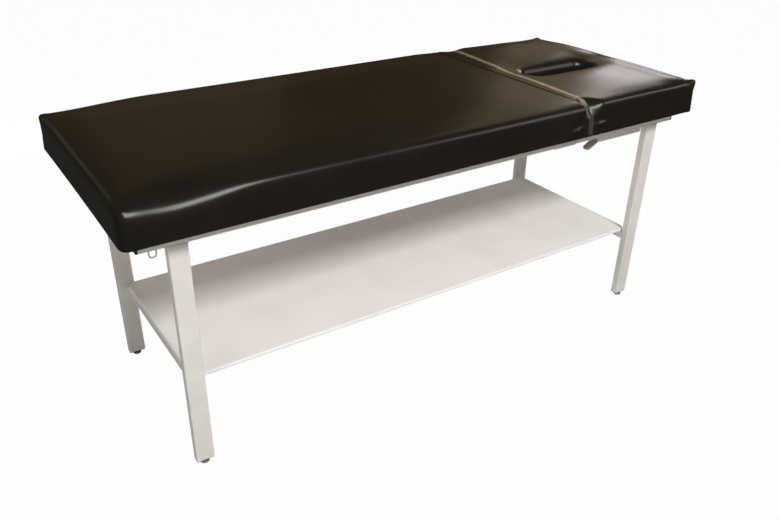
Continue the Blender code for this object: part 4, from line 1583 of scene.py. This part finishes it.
@dataclass(frozen=True)
class Studio:
    """White sweep, dim surroundings and soft lights.

    The camera sees a white floor and wall. What shines sees them dim and brownish, as in a darkened room.
    """

    floor_size: float = 60.0
    floor_tone: Colour = (0.60, 0.60, 0.60)
    floor_shade: Colour = (0.591, 0.591, 0.591)
    floor_blotch: float = 0.4
    floor_roughness: float = 0.9
    floor_glow: float = 0.975
    backdrop: Colour = (1.0, 1.0, 1.0)
    surround: Colour = (0.20, 0.20, 0.20)
    shine: Colour = (0.077, 0.058, 0.029)
    floor_shine: Colour = (0.043, 0.043, 0.040)
    lights: tuple[SoftBox, ...] = (
        SoftBox("key", (0.0, -3.2, 3.55), (0.0, 0.0, 0.5), 1.5, 0.8, 172.0, (1.0, 0.99, 0.98), gloss=False),
        SoftBox("key_shine", (-0.5, -3.1, 4.0), (0.0, 0.0, 0.5), 2.6, 2.2, 185.0, fills=False),
        SoftBox("side_fill", (-3.6, -1.6, 1.6), (0.0, 0.0, 0.6), 2.0, 2.0, 40.0, gloss=False),
        SoftBox("back_glow", (0.0, 3.2, 1.0), (0.0, 0.0, 0.3), 3.0, 0.9, 50.0, gloss=False),
        SoftBox("edge_strip", (4.6, -3.4, 3.0), (0.4, -0.4, 0.8), 3.4, 1.2, 26.0),
        SoftBox("head_sheen", (3.94, 2.12, 1.81), (0.72, 0.0, 0.84), 0.90, 1.0, 7.6, (1.0, 0.95, 0.97),
                fills=False),
        SoftBox("edge_band", (4.4, -3.0, 4.3), (0.7, 0.0, 0.8), 3.4, 1.4, 28.0, fills=False),
        SoftBox("head_wall", (4.0, 3.06, 2.95), (0.72, 0.0, 0.84), 1.3, 3.2, 4.2, (1.0, 0.80, 0.50),
                fills=False),
        SoftBox("foot_wall", (0.4, 3.4, 2.0), (-0.6, 0.0, 0.84), 1.6, 1.4, 0.42, (1.0, 0.82, 0.50),
                fills=False),
        SoftBox("foot_strip", (-1.9, 3.0, 1.8), (-0.95, 0.0, 0.83), 1.2, 0.6, 0.5),
    )

    def build(self) -> None:
        """Adds the floor, the world and the lights."""
        self.build_world()
        self.build_floor()
        for light in self.lights:
            light.build()
        bpy.context.scene.view_settings.view_transform = "Standard"

    @staticmethod
    def by_ray(tree: NodeTree, kinds: Sequence[str], shaders: Sequence[Node], rest: Node) -> NodeSocket:
        """Chooses a shader by what kind of ray meets it.

        Args:
            tree: the node tree.
            kinds: names of the ray kinds, such as Is Camera Ray.
            shaders: the shader for each kind.
            rest: the shader for all other rays.

        Returns:
            The chosen shader's socket.
        """
        rays = tree.nodes.new("ShaderNodeLightPath")
        chosen = rest.outputs[0]
        for kind, shader in zip(kinds, shaders):
            mix = tree.nodes.new("ShaderNodeMixShader")
            tree.links.new(rays.outputs[kind], mix.inputs["Fac"])
            tree.links.new(chosen, mix.inputs[1])
            tree.links.new(shader.outputs[0], mix.inputs[2])
            chosen = mix.outputs[0]
        return chosen

    def build_world(self) -> None:
        """Makes the surroundings."""
        world = bpy.data.worlds.new("studio")
        bpy.context.scene.world = world
        world.use_nodes = True
        tree = world.node_tree
        grounds = [tree.nodes["Background"], tree.nodes.new("ShaderNodeBackground"),
                   tree.nodes.new("ShaderNodeBackground")]
        for ground, colour in zip(grounds, (self.surround, self.shine, self.backdrop)):
            ground.inputs["Color"].default_value = (*colour, 1.0)
        chosen = self.by_ray(tree, ("Is Glossy Ray", "Is Camera Ray"), grounds[1:], grounds[0])
        tree.links.new(chosen, tree.nodes["World Output"].inputs["Surface"])

    def build_floor(self) -> None:
        """Makes the floor."""
        shape = bmesh.new()
        bmesh.ops.create_grid(shape, x_segments=1, y_segments=1, size=self.floor_size / 2)
        mesh = mesh_from(shape, "floor")
        sheet = NodeSheet("floor_paper")
        tone = sheet.mottle(self.floor_blotch, MID_SPAN, self.floor_tone, self.floor_shade, detail=2.0)
        sheet.drive("Base Color", tone)
        sheet.set(Roughness=self.floor_roughness, Specular_IOR_Level=0.0)
        lit = sheet.add("ShaderNodeEmission")
        dim = sheet.add("ShaderNodeEmission")
        dim.inputs["Color"].default_value = (*self.floor_shine, 1.0)
        bright = sheet.add("ShaderNodeMixShader")
        bright.inputs["Fac"].default_value = self.floor_glow
        sheet.link(sheet.shader.outputs[0], bright.inputs[1])
        sheet.link(lit.outputs[0], bright.inputs[2])
        chosen = self.by_ray(sheet.tree, ("Is Glossy Ray", "Is Camera Ray"), (dim, bright), sheet.shader)
        sheet.link(chosen, sheet.tree.nodes["Material Output"].inputs["Surface"])
        mesh.materials.append(sheet.material)
        floor = placed("floor", mesh)


def dress_nodes(materials: dict[Slot, Material]) -> None:
    """Gives each node of the frame the finish of its slot.

    Args:
        materials: the finished material of each slot.
    """
    for name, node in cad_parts.items():
        slot = Slot(node.material_slots[0].material.name)
        for holder in node.material_slots:
            holder.material = materials[slot]
        LOG.info("%s: %s", name, slot.value)


def main() -> None:
    """Builds the studio, dresses the frame's nodes and adds the soft pieces."""
    logging.basicConfig(level=logging.INFO, format="%(message)s")
    StudioCamera().build()
    Studio().build()
    materials = {slot: finish.make() for slot, finish in FINISHES.items()}
    dress_nodes(materials)
    head_low, head_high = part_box("head_cushion")
    slot = FaceSlot((head_low.x + head_high.x) / 2, (head_low.y + head_high.y) / 2)
    pad = MainCushion("main_cushion", "main_deck", Body.FRAME, crease_end=1, voxel=0.0105,
                      edge_radius=0.022)
    pad.build(materials[Slot.VINYL])
    head = HeadCushion("head_cushion", "head_deck", Body.HEAD, crease_end=-1, voxel=0.0075, slot=slot,
                       corner_radius=0.009)
    cover = head.build(materials[Slot.VINYL])
    Strap().build(head, cover, materials[Slot.STRAP_CLEAR])
    Fittings().build(materials)


if __name__ == "__main__":
    main()
